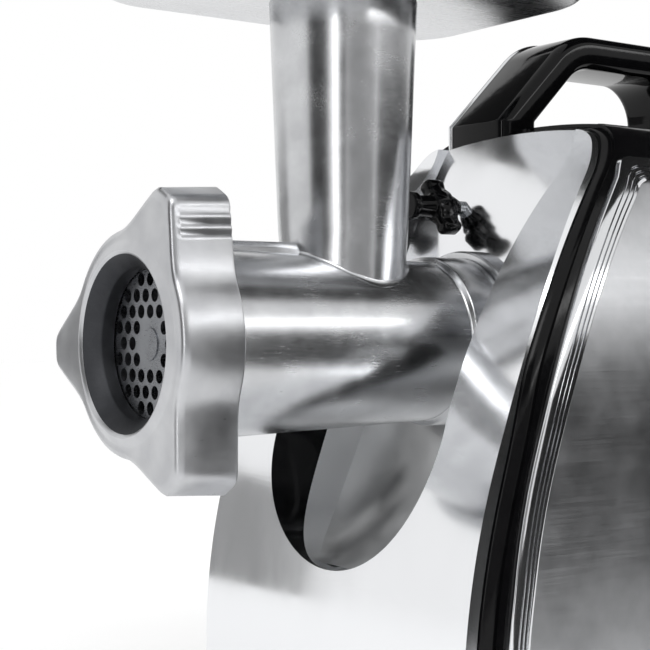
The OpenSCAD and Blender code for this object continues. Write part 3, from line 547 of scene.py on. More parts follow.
for face in screw_ring.data.polygons:
    middle = TO_FRAME.inverted() @ face.center
    if middle.yz.length < THREAD_R - 3.0 or (middle.yz.length < THREAD_R + 0.5 and middle.x > 0.5):
        face.material_index = 1

# %% [markdown]
# ## The feed head
# One aluminium casting: a barrel for the worm, a neck for the tray, a flange and a spigot that lock in
# the socket. It could be one subdivision mesh, but the joint between two rounds is hard to keep true
# that way. Separate blanks are welded and then bored, as the real casting is bored after the mould.
# %% Sizes of the head
BARREL_FRONT_R = PLATE_R + 5.0
BARREL_END_R = BARREL_FRONT_R - 3.4
BARREL_END_X = 136.0
FLANGE_R = BARREL_END_R + 2.1
FLANGE_X = BARREL_END_X + 1.5
SOCKET_X = local("socket_collar")[0][0]
SPIGOT_END = local("feed_head")[1][0]
SPIGOT_R = FLANGE_R - 2.2
BORE_R = PLATE_R - 3.0
BUSH_R = 12.0
NECK_FOOT_R = 25.5
NECK_TOP_R = 29.4
THROAT_R = 22.5
FOOT_FLARE = 1.3
print("barrel radius", BARREL_FRONT_R, "to", BARREL_END_R, "mm, flange", FLANGE_R, "mm")


def barrel_radius(x):
    return BARREL_FRONT_R + (BARREL_END_R - BARREL_FRONT_R) * (x - RING_L) / (BARREL_END_X - RING_L)

# %% [markdown]
# ### Welding and boring
# Exact booleans join the blanks and take the bores out. Each is applied at once, so that the next one
# starts from a plain mesh and the finished piece carries no modifier.
# %% Welding and boring


def cut(piece, tool):
    """Takes one mesh from another with an exact boolean, and drops the tool."""
    modifier = piece.modifiers.new("Cut", "BOOLEAN")
    modifier.operation = "DIFFERENCE"
    modifier.solver = "EXACT"
    modifier.object = tool
    apply_modifiers(piece)
    bpy.data.objects.remove(tool, do_unlink=True)


def weld(piece, other):
    modifier = piece.modifiers.new("Weld", "BOOLEAN")
    modifier.operation = "UNION"
    modifier.solver = "EXACT"
    modifier.object = other
    apply_modifiers(piece)
    bpy.data.objects.remove(other, do_unlink=True)


def apply_modifiers(piece):
    graph = bpy.context.evaluated_depsgraph_get()
    mesh = bpy.data.meshes.new_from_object(piece.evaluated_get(graph))
    piece.modifiers.clear()
    old = piece.data
    piece.data = mesh
    bpy.data.meshes.remove(old)


def blank(bm, name):
    """A plain object for a boolean, in machine coordinates."""
    bmesh.ops.remove_doubles(bm, verts=bm.verts[:], dist=1e-4)
    bmesh.ops.recalc_face_normals(bm, faces=bm.faces[:])
    mesh = bpy.data.meshes.new(name)
    bm.to_mesh(mesh)
    bm.free()
    made = bpy.data.objects.new(name, mesh)
    bpy.context.scene.collection.objects.link(made)
    return made

# %% [markdown]
# ### Neck
# The neck is a cone that widens upwards. It stands on the barrel in a saddle, with a small fillet where
# the casting's walls meet. A cylinder pushed into the barrel would leave a sharp joint. So the lowest
# loops follow the barrel's round and flare out to it over a quarter of a circle.
# %% Neck


def neck_blank():
    bm = bmesh.new()
    steps = 128
    rows = []
    for k in range(9):
        angle = math.pi / 2 * k / 8
        rows.append((FOOT_FLARE * (1 - math.sin(angle)), FOOT_FLARE * (1 - math.cos(angle))))
    loops = []
    for out, up in rows:
        ring = []
        for i in range(steps):
            a = math.tau * i / steps
            r = NECK_FOOT_R - 0.6 + out
            x, y = NECK_X + r * math.cos(a), r * math.sin(a)
            ground = math.sqrt(barrel_radius(x) ** 2 - y * y)
            ring.append((x, y, ground - 0.03 + up))
        loops.append(ring)
    slope = (NECK_TOP_R - NECK_FOOT_R) / (NECK_TOP - 37)
    for z in (44, 60, 80, 100, 120, NECK_TOP - 1.2):
        r = NECK_FOOT_R + slope * (z - 37)
        loops.append([(NECK_X + r * math.cos(math.tau * i / steps), r * math.sin(math.tau * i / steps), z)
                      for i in range(steps)])
    r = NECK_TOP_R
    for z, inset in ((NECK_TOP - 0.4, 0.35), (NECK_TOP, 1.2)):
        loops.append([(NECK_X + (r - inset) * math.cos(math.tau * i / steps),
                       (r - inset) * math.sin(math.tau * i / steps), z) for i in range(steps)])
    low = [(x, y, 5.0) for x, y, z in loops[0]]
    rings = loft(bm, [low] + loops)
    bmesh.ops.edgeloop_fill(bm, edges=rings[0])
    bmesh.ops.edgeloop_fill(bm, edges=rings[-1])
    return blank(bm, "neck")

# %% [markdown]
# ### Top rib
# A low web runs along the barrel's top from the ring to the neck and stiffens the casting. It has a
# rounded section that is lofted straight back and dies into the neck's foot.
# %% Top rib


def rib_blank():
    """The web that runs along the barrel's top from the ring to the neck."""
    bm = bmesh.new()
    section = [(-6.5, 32.0), (-4.6, 36.4), (-3.4, 38.0), (-2.2, 38.6), (2.2, 38.6), (3.4, 38.0),
               (4.6, 36.4), (6.5, 32.0)]
    rings = loft(bm, [[(x, y, z - drop) for y, z in section]
                      for x, drop in ((RING_L + 2.0, 1.5), (RING_L + 4.0, 0.0), (NECK_X - 20, 0.0))])
    bmesh.ops.edgeloop_fill(bm, edges=rings[0])
    bmesh.ops.edgeloop_fill(bm, edges=rings[-1])
    return blank(bm, "rib")

# %% [markdown]
# ### Feed head
# The barrel's outside is one turned section, from its thread over the tapered barrel and the flange to
# the spigot. The throat and the stepped bore are turned sections too, used as cutters.
# %% Feed head


def cylinder_blank(name, section, axis="x", centre=(0, 0, 0)):
    bm = bmesh.new()
    turn(bm, section, axis, centre, 128, closed=False)
    return blank(bm, name)


barrel_outer = rounded_section([
    (10.3, 0.0, 0), (10.3, THREAD_R - 0.3, 0.5), (RING_L + 0.6, THREAD_R - 0.3, 0),
    (RING_L + 0.8, BARREL_FRONT_R - 0.2, 0.3), (BARREL_END_X, BARREL_END_R, 1.5),
    (FLANGE_X, FLANGE_R, 1.0), (SOCKET_X - 0.3, FLANGE_R, 0.9), (SOCKET_X - 0.3, SPIGOT_R, 0),
    (SPIGOT_END, SPIGOT_R, 0.5), (SPIGOT_END, 0.0, 0)])
head = cylinder_blank("feed_head_casting", barrel_outer)
weld(head, neck_blank())
weld(head, rib_blank())
cut(head, cylinder_blank("throat", [(0, 0.0), (0, THROAT_R), (NECK_TOP - 13, THROAT_R),
                                    (NECK_TOP - 13, THROAT_R + 2.2), (NECK_TOP + 5, THROAT_R + 2.2),
                                    (NECK_TOP + 5, 0.0)], "z", (NECK_X, 0, 0)))
cut(head, cylinder_blank("bore", [(5, 0.0), (5, PLATE_R + 0.1), (18.5, PLATE_R + 0.1), (18.5, BORE_R),
                                  (137, BORE_R), (137, BUSH_R), (157, BUSH_R), (157, SPIGOT_R - 5),
                                  (180, SPIGOT_R - 5), (180, 0.0)]))
bm = bmesh.new()
bm.from_mesh(head.data)
bpy.data.objects.remove(head, do_unlink=True)
make_piece(bm, "cast_feed_head", "head", CAST, ("feed_head",), crisp=35)

# %% [markdown]
# ## The socket collar
# The socket is a turned ring in the front of the housing, and the head's flange closes on its face.
# Only its front edge shows, as a thin bright line behind the flange. One spun section is enough.
# %% Socket collar
COLLAR_R = 38.0
bm = bmesh.new()
turn(bm, rounded_section([
    (SOCKET_X, SPIGOT_R + 0.1, 0.2), (SOCKET_X, COLLAR_R - 0.4, 1.2), (SOCKET_X + 22, COLLAR_R - 0.4, 0.3),
    (SOCKET_X + 22, SPIGOT_R + 0.1, 0.2)]), steps=128)
make_piece(bm, "turned_socket_collar", "housing", CAST, ("socket_collar",))

# %% [markdown]
# ## The housing's curves
# The housing is a body with a bowed front, bowed sides and a flat round crown. Its parts have to meet
# in even gaps, so none of them is shaped on its own. Three functions hold the form: how far forward
# the front is at a height, how wide the housing is at a height, and the outline seen from the front.
# %% Housing curves
FRONT_R = 273.0
FRONT_DROP = 130.7
SIDE_R = 245.7
CROWN_R = 320.0
CROWN_ROUND = 14.0
SHOULDER = -41.0
BROW_X = 182.0
BROW_BLEND = 14.0
MASK_T = 5.0
MASK_WALL = 2.0
MASK_EDGE = 1.2
BAND_W = 6.0


def front_x(z, depth=0.0):
    if z < -FRONT_DROP:
        return FRONT_X + depth
    r = FRONT_R - depth
    curve = FRONT_X + FRONT_R - math.sqrt(max(0.0, r * r - (z + FRONT_DROP) ** 2))
    brow = BROW_X + depth
    blend = max(0.0, BROW_BLEND - abs(curve - brow)) / BROW_BLEND
    return min(curve, brow) - blend * blend * BROW_BLEND / 4


def edge_depth(z):
    """How far the mirror front wraps round the side: less where the side is fullest."""
    if z > -2:
        return 1.3 + 0.02 * (z + 2)
    return MASK_T - 3.7 * math.exp(-((z + 2) / 30) ** 2)


def trim_x(z, inset):
    """The front edge of the side trim: it draws nearer to the mirror front towards the top."""
    lean = max(-1.0, min(1.0, z / 88))
    return front_x(z, MASK_T + BAND_W + inset) - 4.6 * lean


def side_y(z, grow=0.0):
    if z < SHOULDER:
        return HALF_W + grow
    return HALF_W - SIDE_R + math.sqrt((SIDE_R + grow) ** 2 - (z - SHOULDER) ** 2)


def meet(c1, r1, c2, r2):
    """The upper meeting point of two circles on the left side of the machine."""
    d = (c2 - c1).length
    a = (r1 * r1 - r2 * r2 + d * d) / (2 * d)
    h = math.sqrt(r1 * r1 - a * a)
    along = (c2 - c1) / d
    across = Vector((-along.y, along.x))
    return max((c1 + along * a + across * s * h for s in (-1, 1)), key=lambda p: p.y)


def outline(grow=0.0, side=40, corner=10, crown=14):
    """Points (y, z) from the base up the left side and over to the middle of the crown."""
    side_c = Vector((HALF_W - SIDE_R, SHOULDER))
    crown_c = Vector((0, CROWN_Z - CROWN_R))
    round_r = CROWN_ROUND + grow
    mid = meet(side_c, SIDE_R - CROWN_ROUND, crown_c, CROWN_R - CROWN_ROUND)
    start = (mid - side_c).normalized()
    end = (mid - crown_c).normalized()
    points = [Vector((HALF_W + grow, BASE_Z + (SHOULDER - BASE_Z) * i / 16)) for i in range(16)]
    top = math.atan2(start.y, start.x)
    points += [side_c + (SIDE_R + grow) * Vector((math.cos(top * i / side), math.sin(top * i / side)))
               for i in range(side)]
    a0, a1 = math.atan2(start.y, start.x), math.atan2(end.y, end.x)
    for i in range(corner):
        a = a0 + (a1 - a0) * i / corner
        points.append(mid + round_r * Vector((math.cos(a), math.sin(a))))
    for i in range(crown + 1):
        a = a1 + (math.pi / 2 - a1) * i / crown
        points.append(crown_c + (CROWN_R + grow) * Vector((math.cos(a), math.sin(a))))
    points[-1].x = 0.0
    return points


print("outline", len(outline()), "points, brow at", front_x(85))

# %% [markdown]
# ## The mirror front
# The front is one moulded, chromium-plated part, with a recess for the head that ends in a scoop for
# the bowl. First come the curves that shape the recess: how deep its back wall lies at a height, and
# the crease where it leaves the front.
# %% Recess curves
RECESS_R = 54.5
RECESS_Z = -35.0
RECESS_TOP_W = 45.0
RECESS_TOP_Z = 70.0
# How far back the painted-shade black band on the recess' walls reaches at its widest
SHADE_BAND_DEPTH = 26.0
FLOOR_X = 158.0
SCOOP_R = 100.0
SCOOP_Z = 5.0
LEAN = 0.20
LEAN_MORE = 0.0021


def floor_x(z):
    """The recess' back wall: leaning above the axis, a scoop below it."""
    if z >= SCOOP_Z:
        return FLOOR_X + LEAN * (z - SCOOP_Z) + LEAN_MORE * (z - SCOOP_Z) ** 2
    return FLOOR_X - SCOOP_R + math.sqrt(max(0.0, SCOOP_R ** 2 - (z - SCOOP_Z) ** 2))


def crease(count=40):
    """Points (y, z) of the recess' edge from its lowest point up the left side to the crown."""
    points = []
    for i in range(count + 1):
        a = -math.pi / 2 + math.pi / 2 * i / count
        points.append(Vector((RECESS_R * math.cos(a), RECESS_Z + RECESS_R * math.sin(a))))
    points[0].x = 0.0
    slope = (RECESS_TOP_W - RECESS_R) / (RECESS_TOP_Z - RECESS_Z)
    crown_c = CROWN_Z - CROWN_R
    for i in range(1, 21):
        z = RECESS_Z + (CROWN_Z - 3 - RECESS_Z) * i / 20
        y = RECESS_R + slope * (z - RECESS_Z)
        if i == 20:
            z = crown_c + math.sqrt(CROWN_R ** 2 - y * y)
        points.append(Vector((y, z)))
    return points


print("recess: back wall from x =", round(floor_x(-70), 1), "to", round(floor_x(80), 1), "mm")

# %% [markdown]
# ### Front face
# Box modelling with creases would do, but the front curves one way only. So half of it is drawn flat as
# two faces, the front and the recess' back wall, sliced into level strips and bent to their curves.
# %% Front face
bm = bmesh.new()
edge = crease()
rim = [p for p in outline() if p.x > edge[-1].x + 0.5]
face = [(p.x, p.y) for p in edge] + [(p.x, p.y) for p in reversed(rim)] + [(0.0, BASE_Z)]
bm.faces.new([bm.verts.new((0, y, z)) for y, z in face])
crown_z = edge[-1].y
top = [p for p in outline() if p.x < edge[-1].x]
floor = [(p.x, p.y) for p in edge] + [(p.x, p.y) for p in top]
# The back wall's vertices are marked by x = 1 until they are bent
bm.faces.new([bm.verts.new((1, y, z)) for y, z in floor])
slice_levels(bm, BASE_Z, CROWN_Z + 3, 2.2)
front_verts = [v for v in bm.verts if v.co.x < 0.5]
for v in bm.verts:
    is_floor = v.co.x > 0.5
    v.co.x = floor_x(v.co.z) if is_floor else front_x(v.co.z)


def off_crease(at):
    """Distance of a point on the left half from the recess' edge, seen from the front."""
    if at.z <= RECESS_Z:
        return abs(math.hypot(at.y, at.z - RECESS_Z) - RECESS_R)
    slope = (RECESS_TOP_W - RECESS_R) / (RECESS_TOP_Z - RECESS_Z)
    return abs(at.y - RECESS_R - slope * (at.z - RECESS_Z))

# %% [markdown]
# ### Recess walls
# The crease is pulled back in two steps. The first band is gloss black on the recess' wall. It is painted
# shade that stands in for the dark reflection of the head's shaded underside, wide at the sides and fading
# out upwards.
# The second reaches the back wall. Below the axis the wall is the scoop, with its unpolished plate.
# %% Recess walls
boundary = [e for e in bm.edges if e.is_boundary]
is_front = set(front_verts)
crease_edges = [e for e in boundary if all(v in is_front and off_crease(v.co) < 0.35 for v in e.verts)
                and not all(v.co.y < 0.01 for v in e.verts)]
made, verts = extrude_edges(bm, crease_edges)
is_front -= set(verts)
for v in verts:
    # The first band is painted shade: gloss black for the dark reflection of the head's shaded underside
    lip = SHADE_BAND_DEPTH * (v.co.y / RECESS_R) ** 2 * max(0.0, min(1.0, (10 - v.co.z) / 20))
    v.co.x = min(front_x(v.co.z) + 0.6 + lip, floor_x(v.co.z) - 0.5)
painted_shade_faces = {f for v in verts for f in v.link_faces if f.calc_center_median().z < 0}
made, verts = extrude_edges(bm, made)
for v in verts:
    v.co.x = floor_x(v.co.z)
is_front -= set(verts)
rim_edges = [e for e in boundary if all(v in is_front and off_crease(v.co) >= 0.35 and v.co.y > 0.01
                                        for v in e.verts) and e.is_boundary]
print("crease", len(crease_edges), "rim", len(rim_edges))
# These faces take gloss black as painted shade
for face in painted_shade_faces:
    face.material_index = 1
for face in bm.faces:
    middle = face.calc_center_median()
    if face not in painted_shade_faces and middle.z < SCOOP_Z and middle.x > front_x(middle.z) + 4:
        face.material_index = 2

# %% [markdown]
# ### Rim and crown
# The outer edge wraps round the side, and the crown's edge goes back under the handle. The half is
# mirrored, gets a wall and small rounds, and the rounds take the chrome even where the painted-shade black
# band ends.
# %% Rim and crown
made, verts = extrude_edges(bm, rim_edges)
for v in verts:
    v.co.x = front_x(v.co.z, edge_depth(v.co.z))
top_edges = [e for e in bm.edges if e.is_boundary and e not in made
             and all(v.co.z > crown_z - 0.01 and v.co.y < edge[-1].x + 0.01 for v in e.verts)
             and not all(v.co.y < 0.01 for v in e.verts)]
made, verts = extrude_edges(bm, top_edges)
for v in verts:
    v.co.x = front_x(v.co.z, MASK_T) + 4
bmesh.ops.remove_doubles(bm, verts=bm.verts[:], dist=1e-2)
bmesh.ops.mirror(bm, geom=bm.verts[:] + bm.edges[:] + bm.faces[:], axis="Y", merge_dist=0.01)
mask = make_piece(bm, "chromed_front", "housing", CHROME, ("front_mask",), crisp=30)
# Material 1, gloss black, is painted shade on the recess' walls
mask.data.materials.append(GLOSS_BLACK)
mask.data.materials.append(SATIN_CHROME)
thicken(mask, MASK_WALL, even=False)
soften(mask, MASK_EDGE, segments=4, angle=38)
mask.modifiers[-1].material = 0

# %% [markdown]
# ## The black shells
# Two half shells of black ABS meet on the middle plane and carry everything else. Lofting whole rings
# would make one piece, so each half is one open chain of edges, the outline seen from the front. It is
# pulled back station by station to the rear, where it rounds over and closes, and then gets its wall.
# %% Shells
REAR_ROUND = 45.0
EDGE_ROUND = 9.0
SHELL_WALL = 2.4


def rear_x(z):
    top = CROWN_Z + 2 - REAR_ROUND
    if z < top:
        return REAR_X
    return REAR_X - REAR_ROUND + math.sqrt(max(0.0, REAR_ROUND ** 2 - (z - top) ** 2))


def shell(side, name, replaced):
    bm = bmesh.new()
    base = outline()

    def back(p, depth):
        """How far back the shell's skin starts: behind the mirror front, and behind the recess."""
        x = front_x(p.y, edge_depth(p.y)) + depth
        return max(x, floor_x(p.y) + 1.8 + depth) if p.x < RECESS_TOP_W + 1 and p.y > 0 else x

    stations = [(0.4, 0.0), (1.0, 0.9), (6.0, 1.9), (BAND_W, 3.2), (BAND_W + 3, 3.4)]
    first = [(back(q, 0.4), p.x, p.y) for p, q in zip(outline(-0.8), base)]
    edges = loop_of(bm, first, closed=False)
    count = len(base)

    def ring(points):
        nonlocal edges
        edges, verts = extrude_edges(bm, edges)
        ordered = chain(edges)
        for v, p in zip(ordered, points):
            v.co = p

    def chain(edges):
        """The chain's vertices from the base to the crown."""
        links = {}
        for e in edges:
            for v in e.verts:
                links.setdefault(v, []).append(e)
        ends = [v for v, es in links.items() if len(es) == 1]
        here = min(ends, key=lambda v: v.co.z)
        order, used = [here], set()
        while len(order) < count:
            step = next(e for e in links[here] if e not in used)
            used.add(step)
            here = step.other_vert(here)
            order.append(here)
        return order

    for depth, grow in stations:
        ring([(back(q, depth), p.x, p.y) for p, q in zip(outline(grow), base)])
    pts = outline(3.4)
    for t in (0.15, 0.3, 0.5, 0.7, 0.9):
        ring([(back(q, BAND_W + 3) * (1 - t) + (rear_x(p.y) - EDGE_ROUND) * t, p.x, p.y)
              for p, q in zip(pts, base)])
    for k in range(7):
        a = math.pi / 2 * k / 6
        inset = outline(3.4 - EDGE_ROUND * (1 - math.cos(a)))
        ring([(rear_x(q.y + 3.4) - EDGE_ROUND * (1 - math.sin(a)), p.x, p.y) for p, q in zip(inset, base)])
    last = outline(3.4 - EDGE_ROUND)
    for t in (0.7, 0.35, 0.0):
        ring([(rear_x(q.y + 3.4), p.x * t, p.y) for p, q in zip(last, base)])
    if side < 0:
        bmesh.ops.scale(bm, vec=(1, -1, 1), verts=bm.verts[:])
        bmesh.ops.reverse_faces(bm, faces=bm.faces[:])
    piece = make_piece(bm, name, "housing", SHELL_BLACK, (replaced,), crisp=50)
    thicken(piece, SHELL_WALL)
    return piece


shell(1, "moulded_shell_left", "housing_left")
shell(-1, "moulded_shell_right", "housing_right")

# %% [markdown]
# ## Side trim and side panel
# The trim is a chromed frame with three fine grooves, and the brushed panel lies inside it. Both could
# be cut from the shell's surface. They share one path instead, the trim's outline seen from the side,
# set in step by step, so that they keep an even gap.
# %% Side frame path
TRIM_TOP = 74.0
TRIM_REAR = REAR_X - 18.0
TRIM_LOW = BASE_Z + 12.0
PANEL_OUT = 4.3
PANEL_WALL = 1.2
TRIM_OUT = 5.45


def frame_path(inset):
    """Points (x, z, 0) of the side frame's outline, set in by inset."""
    low, top, rear = TRIM_LOW + inset, TRIM_TOP - inset, TRIM_REAR - inset
    corners = [(trim_x(low, inset), low, 8.0)]
    count = 26
    for i in range(1, count):
        z = low + (top - low) * i / count
        corners.append((trim_x(z, inset), z, 0))
    corners += [(trim_x(top, inset), top, 16.0), (rear, top, 32.0 - inset)]
    corners += [(rear, top - 36 - (top - low - 50) * i / count, 0) for i in range(count + 1)]
    corners.append((rear, low, 8.0))
    return rounded_section(corners, 8)

# %% [markdown]
# ### Trims and panels
# The trim is lofted through rings that lie on the side's curve and step in and out for the grooves.
# The panel is one face on the same path, cut at even heights, bent to the side and given the
# thickness of its sheet.
# %% Trims and panels


def side_piece(side, loops, name, material, replaced, fill=False):
    bm = bmesh.new()
    if fill:
        bm.faces.new([bm.verts.new((x, 0, z)) for x, z in frame_path(loops[-1][0])])
        slice_levels(bm, TRIM_LOW, TRIM_TOP, 3.0)
        for v in bm.verts:
            v.co.y = side * side_y(v.co.z, loops[-1][1])
        bm.normal_update()
        if sum(face.normal.y for face in bm.faces) * side < 0:
            bmesh.ops.reverse_faces(bm, faces=bm.faces[:])
    else:
        rings = [[(x, side * side_y(z, grow), z) for x, z in frame_path(inset)] for inset, grow in loops]
        loft(bm, rings + [rings[0]])
    return make_piece(bm, name, "housing", material, (replaced,), crisp=30, outward=not fill)


trim_loops = [(0.0, 2.5), (0.0, 4.9), (0.15, 5.25), (0.5, TRIM_OUT)]
for at in (4.2, 6.2, 8.0):
    trim_loops += [(at - 0.4, TRIM_OUT), (at - 0.22, 4.9), (at + 0.22, 4.9), (at + 0.4, TRIM_OUT)]
trim_loops += [(9.5, TRIM_OUT), (9.85, 5.25), (10.0, 4.9), (10.0, 2.5)]
for side, word in ((1, "left"), (-1, "right")):
    side_piece(side, trim_loops, "grooved_trim_" + word, TRIM_CHROME, "side_trim_" + word)
    panel = side_piece(side, [(10.1, PANEL_OUT)], "brushed_panel_" + word,
                       STEEL_SHEET, "side_panel_" + word, fill=True)
    thicken(panel, PANEL_WALL)
    soften(panel, 0.3, segments=2)

# %% [markdown]
# ## Locking knob
# The knob presses on the head's flange and keeps it from turning. It is a moulded hub with a groove,
# which is spun, and a two-armed wing, which no lathe can make.
# %% Hub of the knob
KNOB_LOW, KNOB_HIGH = local("locking_knob")
KNOB_X = KNOB_LOW[0]
KNOB_AT = (0, (KNOB_LOW[1] + KNOB_HIGH[1]) / 2, (KNOB_LOW[2] + KNOB_HIGH[2]) / 2)
bm = bmesh.new()
turn(bm, rounded_section([
    (KNOB_X, 0.0, 0), (KNOB_X, 6.0, 1.2), (KNOB_X + 3.2, 6.0, 1.0), (KNOB_X + 4.2, 4.4, 0.8),
    (KNOB_X + 12.0, 4.8, 0.8), (KNOB_X + 13.0, 6.2, 0.8), (KNOB_X + 23.5, 5.0, 1.2),
    (KNOB_X + 27.0, 3.4, 0.8), (KNOB_X + 27.0, 0.0, 0)]), centre=KNOB_AT, steps=48, closed=False)
make_piece(bm, "locking_knob_hub", "knob", GLOSS_BLACK, ("locking_knob",))

# %% [markdown]
# ### Wing of the knob
# The wing is a flat bar with round ends and a waist. A formula gives its outline, and six loops with
# different insets give it rounded edges. It stands turned, as a hand left it.
# %% Wing of the knob
wing = bmesh.new()
WING_L = 13.3
WING_TILT = math.radians(57)
rings = []
for at, inset in ((13.0, 1.6), (13.5, 0.7), (14.6, 0.0), (21.4, 0.0), (22.5, 0.7), (23.0, 1.6)):
    points = []
    for i in range(48):
        a = math.tau * i / 48
        c, s = math.cos(a), math.sin(a)
        long = (WING_L - inset) * math.copysign(abs(c) ** 0.8, c)
        waist = 2.0 * math.exp(-((abs(long) - 8.0) / 2.6) ** 2)
        wide = (5.4 - waist - inset) * math.copysign(abs(s) ** 0.6, s)
        points.append((KNOB_X + at, KNOB_AT[1] + long * math.cos(WING_TILT) - wide * math.sin(WING_TILT),
                       KNOB_AT[2] + long * math.sin(WING_TILT) + wide * math.cos(WING_TILT)))
    rings.append(points)
made = loft(wing, rings)
bmesh.ops.edgeloop_fill(wing, edges=made[0])
bmesh.ops.edgeloop_fill(wing, edges=made[-1])
make_piece(wing, "locking_knob_wing", "knob", GLOSS_BLACK, crisp=45)

# %% [markdown]
# ## Carry handle
# A moulded bar that leaves the brow at 45 degrees and comes down at the rear. It could be a curve with
# a bevel profile, but then its section would pinch in the tight inner bends. Here the outer and the
# inner path are rounded apart, and the section is hung between them.
# %% Carry handle
HANDLE_LOW, HANDLE_HIGH = local("carry_handle")
HANDLE_Y = (HANDLE_LOW[1] + HANDLE_HIGH[1]) / 2
HANDLE_W = HANDLE_HIGH[1] - HANDLE_LOW[1]
HANDLE_T = 15.0
HANDLE_TOP = HANDLE_HIGH[2]
HANDLE_BACK = HANDLE_HIGH[0]
HANDLE_FOOT = CROWN_Z - 5.0
FOOT_X = 189.6


def handle_path(inset):
    """Middle line of the bar at inset below its outer face, as (x, z) points."""
    top = HANDLE_TOP - inset
    foot_x = FOOT_X + inset * 1.45
    rise = BROW_X - CROWN_Z + inset * 1.41
    back = HANDLE_BACK - inset
    return rounded_section([(foot_x, HANDLE_FOOT, 0), (foot_x, foot_x - rise, 1.5),
                            (rise + top, top, 34 - inset),
                            (back, top, 34 - inset), (back, HANDLE_FOOT - 16, 0)], 14)


def handle_section(edge_r=4.5, segments=5):
    """Rounded (across, depth) section; depth 0 is the outer face."""
    half = HANDLE_W / 2
    box = [(-half, 0, edge_r), (half, 0, edge_r), (half, HANDLE_T, edge_r), (-half, HANDLE_T, edge_r)]
    return rounded_section(box, segments)


bm = bmesh.new()
outer = handle_path(0)
inner = handle_path(HANDLE_T)
rings = []
for (ox, oz), (ix, iz) in zip(outer, inner):
    ring = []
    for across, depth in handle_section():
        t = depth / HANDLE_T
        ring.append((ox + (ix - ox) * t, HANDLE_Y + across, oz + (iz - oz) * t))
    rings.append(ring)
made = loft(bm, rings)
bmesh.ops.edgeloop_fill(bm, edges=made[0])
bmesh.ops.edgeloop_fill(bm, edges=made[-1])
make_piece(bm, "carry_handle_bar", "housing", GLOSS_BLACK, ("carry_handle",), crisp=50)

# %% [markdown]
# ### Bright line
# A thin chromed bead is let into the handle's outer face, near its far edge. It runs along the same
# two paths, so it can't leave the handle.
# %% Bright line along the handle
bm = bmesh.new()
rings = []
for (ox, oz), (ix, iz) in zip(outer, inner):
    ring = []
    for k in range(12):
        a = math.tau * k / 12
        across = HANDLE_W / 2 - 3.0 + 1.3 * math.cos(a)
        t = (0.6 - 1.3 * math.sin(a)) / HANDLE_T
        ring.append((ox + (ix - ox) * t, HANDLE_Y + across, oz + (iz - oz) * t))
    rings.append(ring)
made = loft(bm, rings)
bmesh.ops.edgeloop_fill(bm, edges=made[0])
bmesh.ops.edgeloop_fill(bm, edges=made[-1])
make_piece(bm, "handle_bright_line", "housing", TRIM_CHROME, ("handle_inlay",), crisp=60)

# %% [markdown]
# ## Buttons
# Each button is a chromed cap with a shallow dish and a stem behind it. It is spun upright and then
# turned to face out of the side, with its size taken from the CAD node.
# %% Buttons
for name, body in (("power_button", "power"), ("reverse_button", "reverse")):
    low, high = local(name)
    r = (high[0] - low[0]) / 2
    bm = bmesh.new()
    turn(bm, rounded_section([(0, 0.0, 0), (0.0, r * 0.62, 0.5), (-0.5, r * 0.7, 0.3), (-0.5, r, 0.7),
                              (6.0, r, 0.3), (6.0, 3.0, 0), (13.3, 3.0, 0.4), (13.3, 0.0, 0)]),
         "z", (0, 0, 0), 64, closed=False)
    bmesh.ops.rotate(bm, verts=bm.verts[:], cent=(0, 0, 0), matrix=Matrix.Rotation(-math.pi / 2, 3, "X"))
    bmesh.ops.translate(bm, verts=bm.verts[:],
                        vec=((low[0] + high[0]) / 2, low[1] + 0.5, (low[2] + high[2]) / 2))
    make_piece(bm, "domed_" + name, body, TRIM_CHROME, (name,))

# %% [markdown]
# ### Button bezel
# The bezel is a flat plate with two holes. Its CAD shape is right but for its knife-sharp edges, so a
# copy of it is cleaned and gets a small round.
# %% Button bezel


def cad_copy(name, new_name, body, material, width, segments=2):
    """A CAD node's mesh with its seams merged, its flat faces joined and its corners softened."""
    bm = bmesh.new()
    bm.from_mesh(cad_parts[name].data)
    bmesh.ops.remove_doubles(bm, verts=bm.verts[:], dist=1e-6)
    bmesh.ops.dissolve_limit(bm, angle_limit=math.radians(1), verts=bm.verts[:], edges=bm.edges[:])
    bmesh.ops.transform(bm, matrix=TO_FRAME.inverted(), verts=bm.verts[:])
    piece = make_piece(bm, new_name, body, material, (name,), outward=False)
    soften(piece, width, segments)
    return piece


cad_copy("button_bezel", "button_bezel_plate", "housing", GLOSS_BLACK, 0.5)

# %% [markdown]
# ## Tray
# The tray is pressed from sheet: a rounded dish with a rolled rim, a soft corner at the floor and a
# short collar that drops into the neck. Solidify on a single skin would not give the rolled rim, so
# one loft runs over the rim, down inside, through the collar and back up outside.
# %% Tray
TRAY_LOW, TRAY_HIGH = local("filler_tray")
TRAY_FLOOR = NECK_TOP + 0.3
TRAY_T = 2.0


def tray_loop(z, inset):
    x0, x1 = TRAY_LOW[0] + inset, TRAY_HIGH[0] - inset
    y1 = TRAY_HIGH[1] - inset
    r = 38 - inset
    points = []
    corners = ((x1 - r, y1 - r, 0), (x0 + r, y1 - r, 90), (x0 + r, r - y1, 180), (x1 - r, r - y1, 270))
    for cx, cy, a0 in corners:
        for i in range(18):
            a = math.radians(a0 + 90 * i / 17)
            points.append((cx + r * math.cos(a), cy + r * math.sin(a), z))
    return points


def tray_round(z, r):
    points = []
    for x, y, _ in tray_loop(z, 30):
        a = math.atan2(y, x - NECK_X)
        points.append((NECK_X + r * math.cos(a), r * math.sin(a), z))
    return points


def dish(offset):
    """The dish's skin from the rim to the floor's hole; offset is the thickness inside."""
    rows = []
    floor = TRAY_FLOOR + offset
    corner = 8.0
    for k in range(7):
        a = math.pi / 2 * k / 6
        rows.append((floor + corner * (1 - math.sin(a)), 5.0 + offset + corner * (1 - math.cos(a))))
    return rows


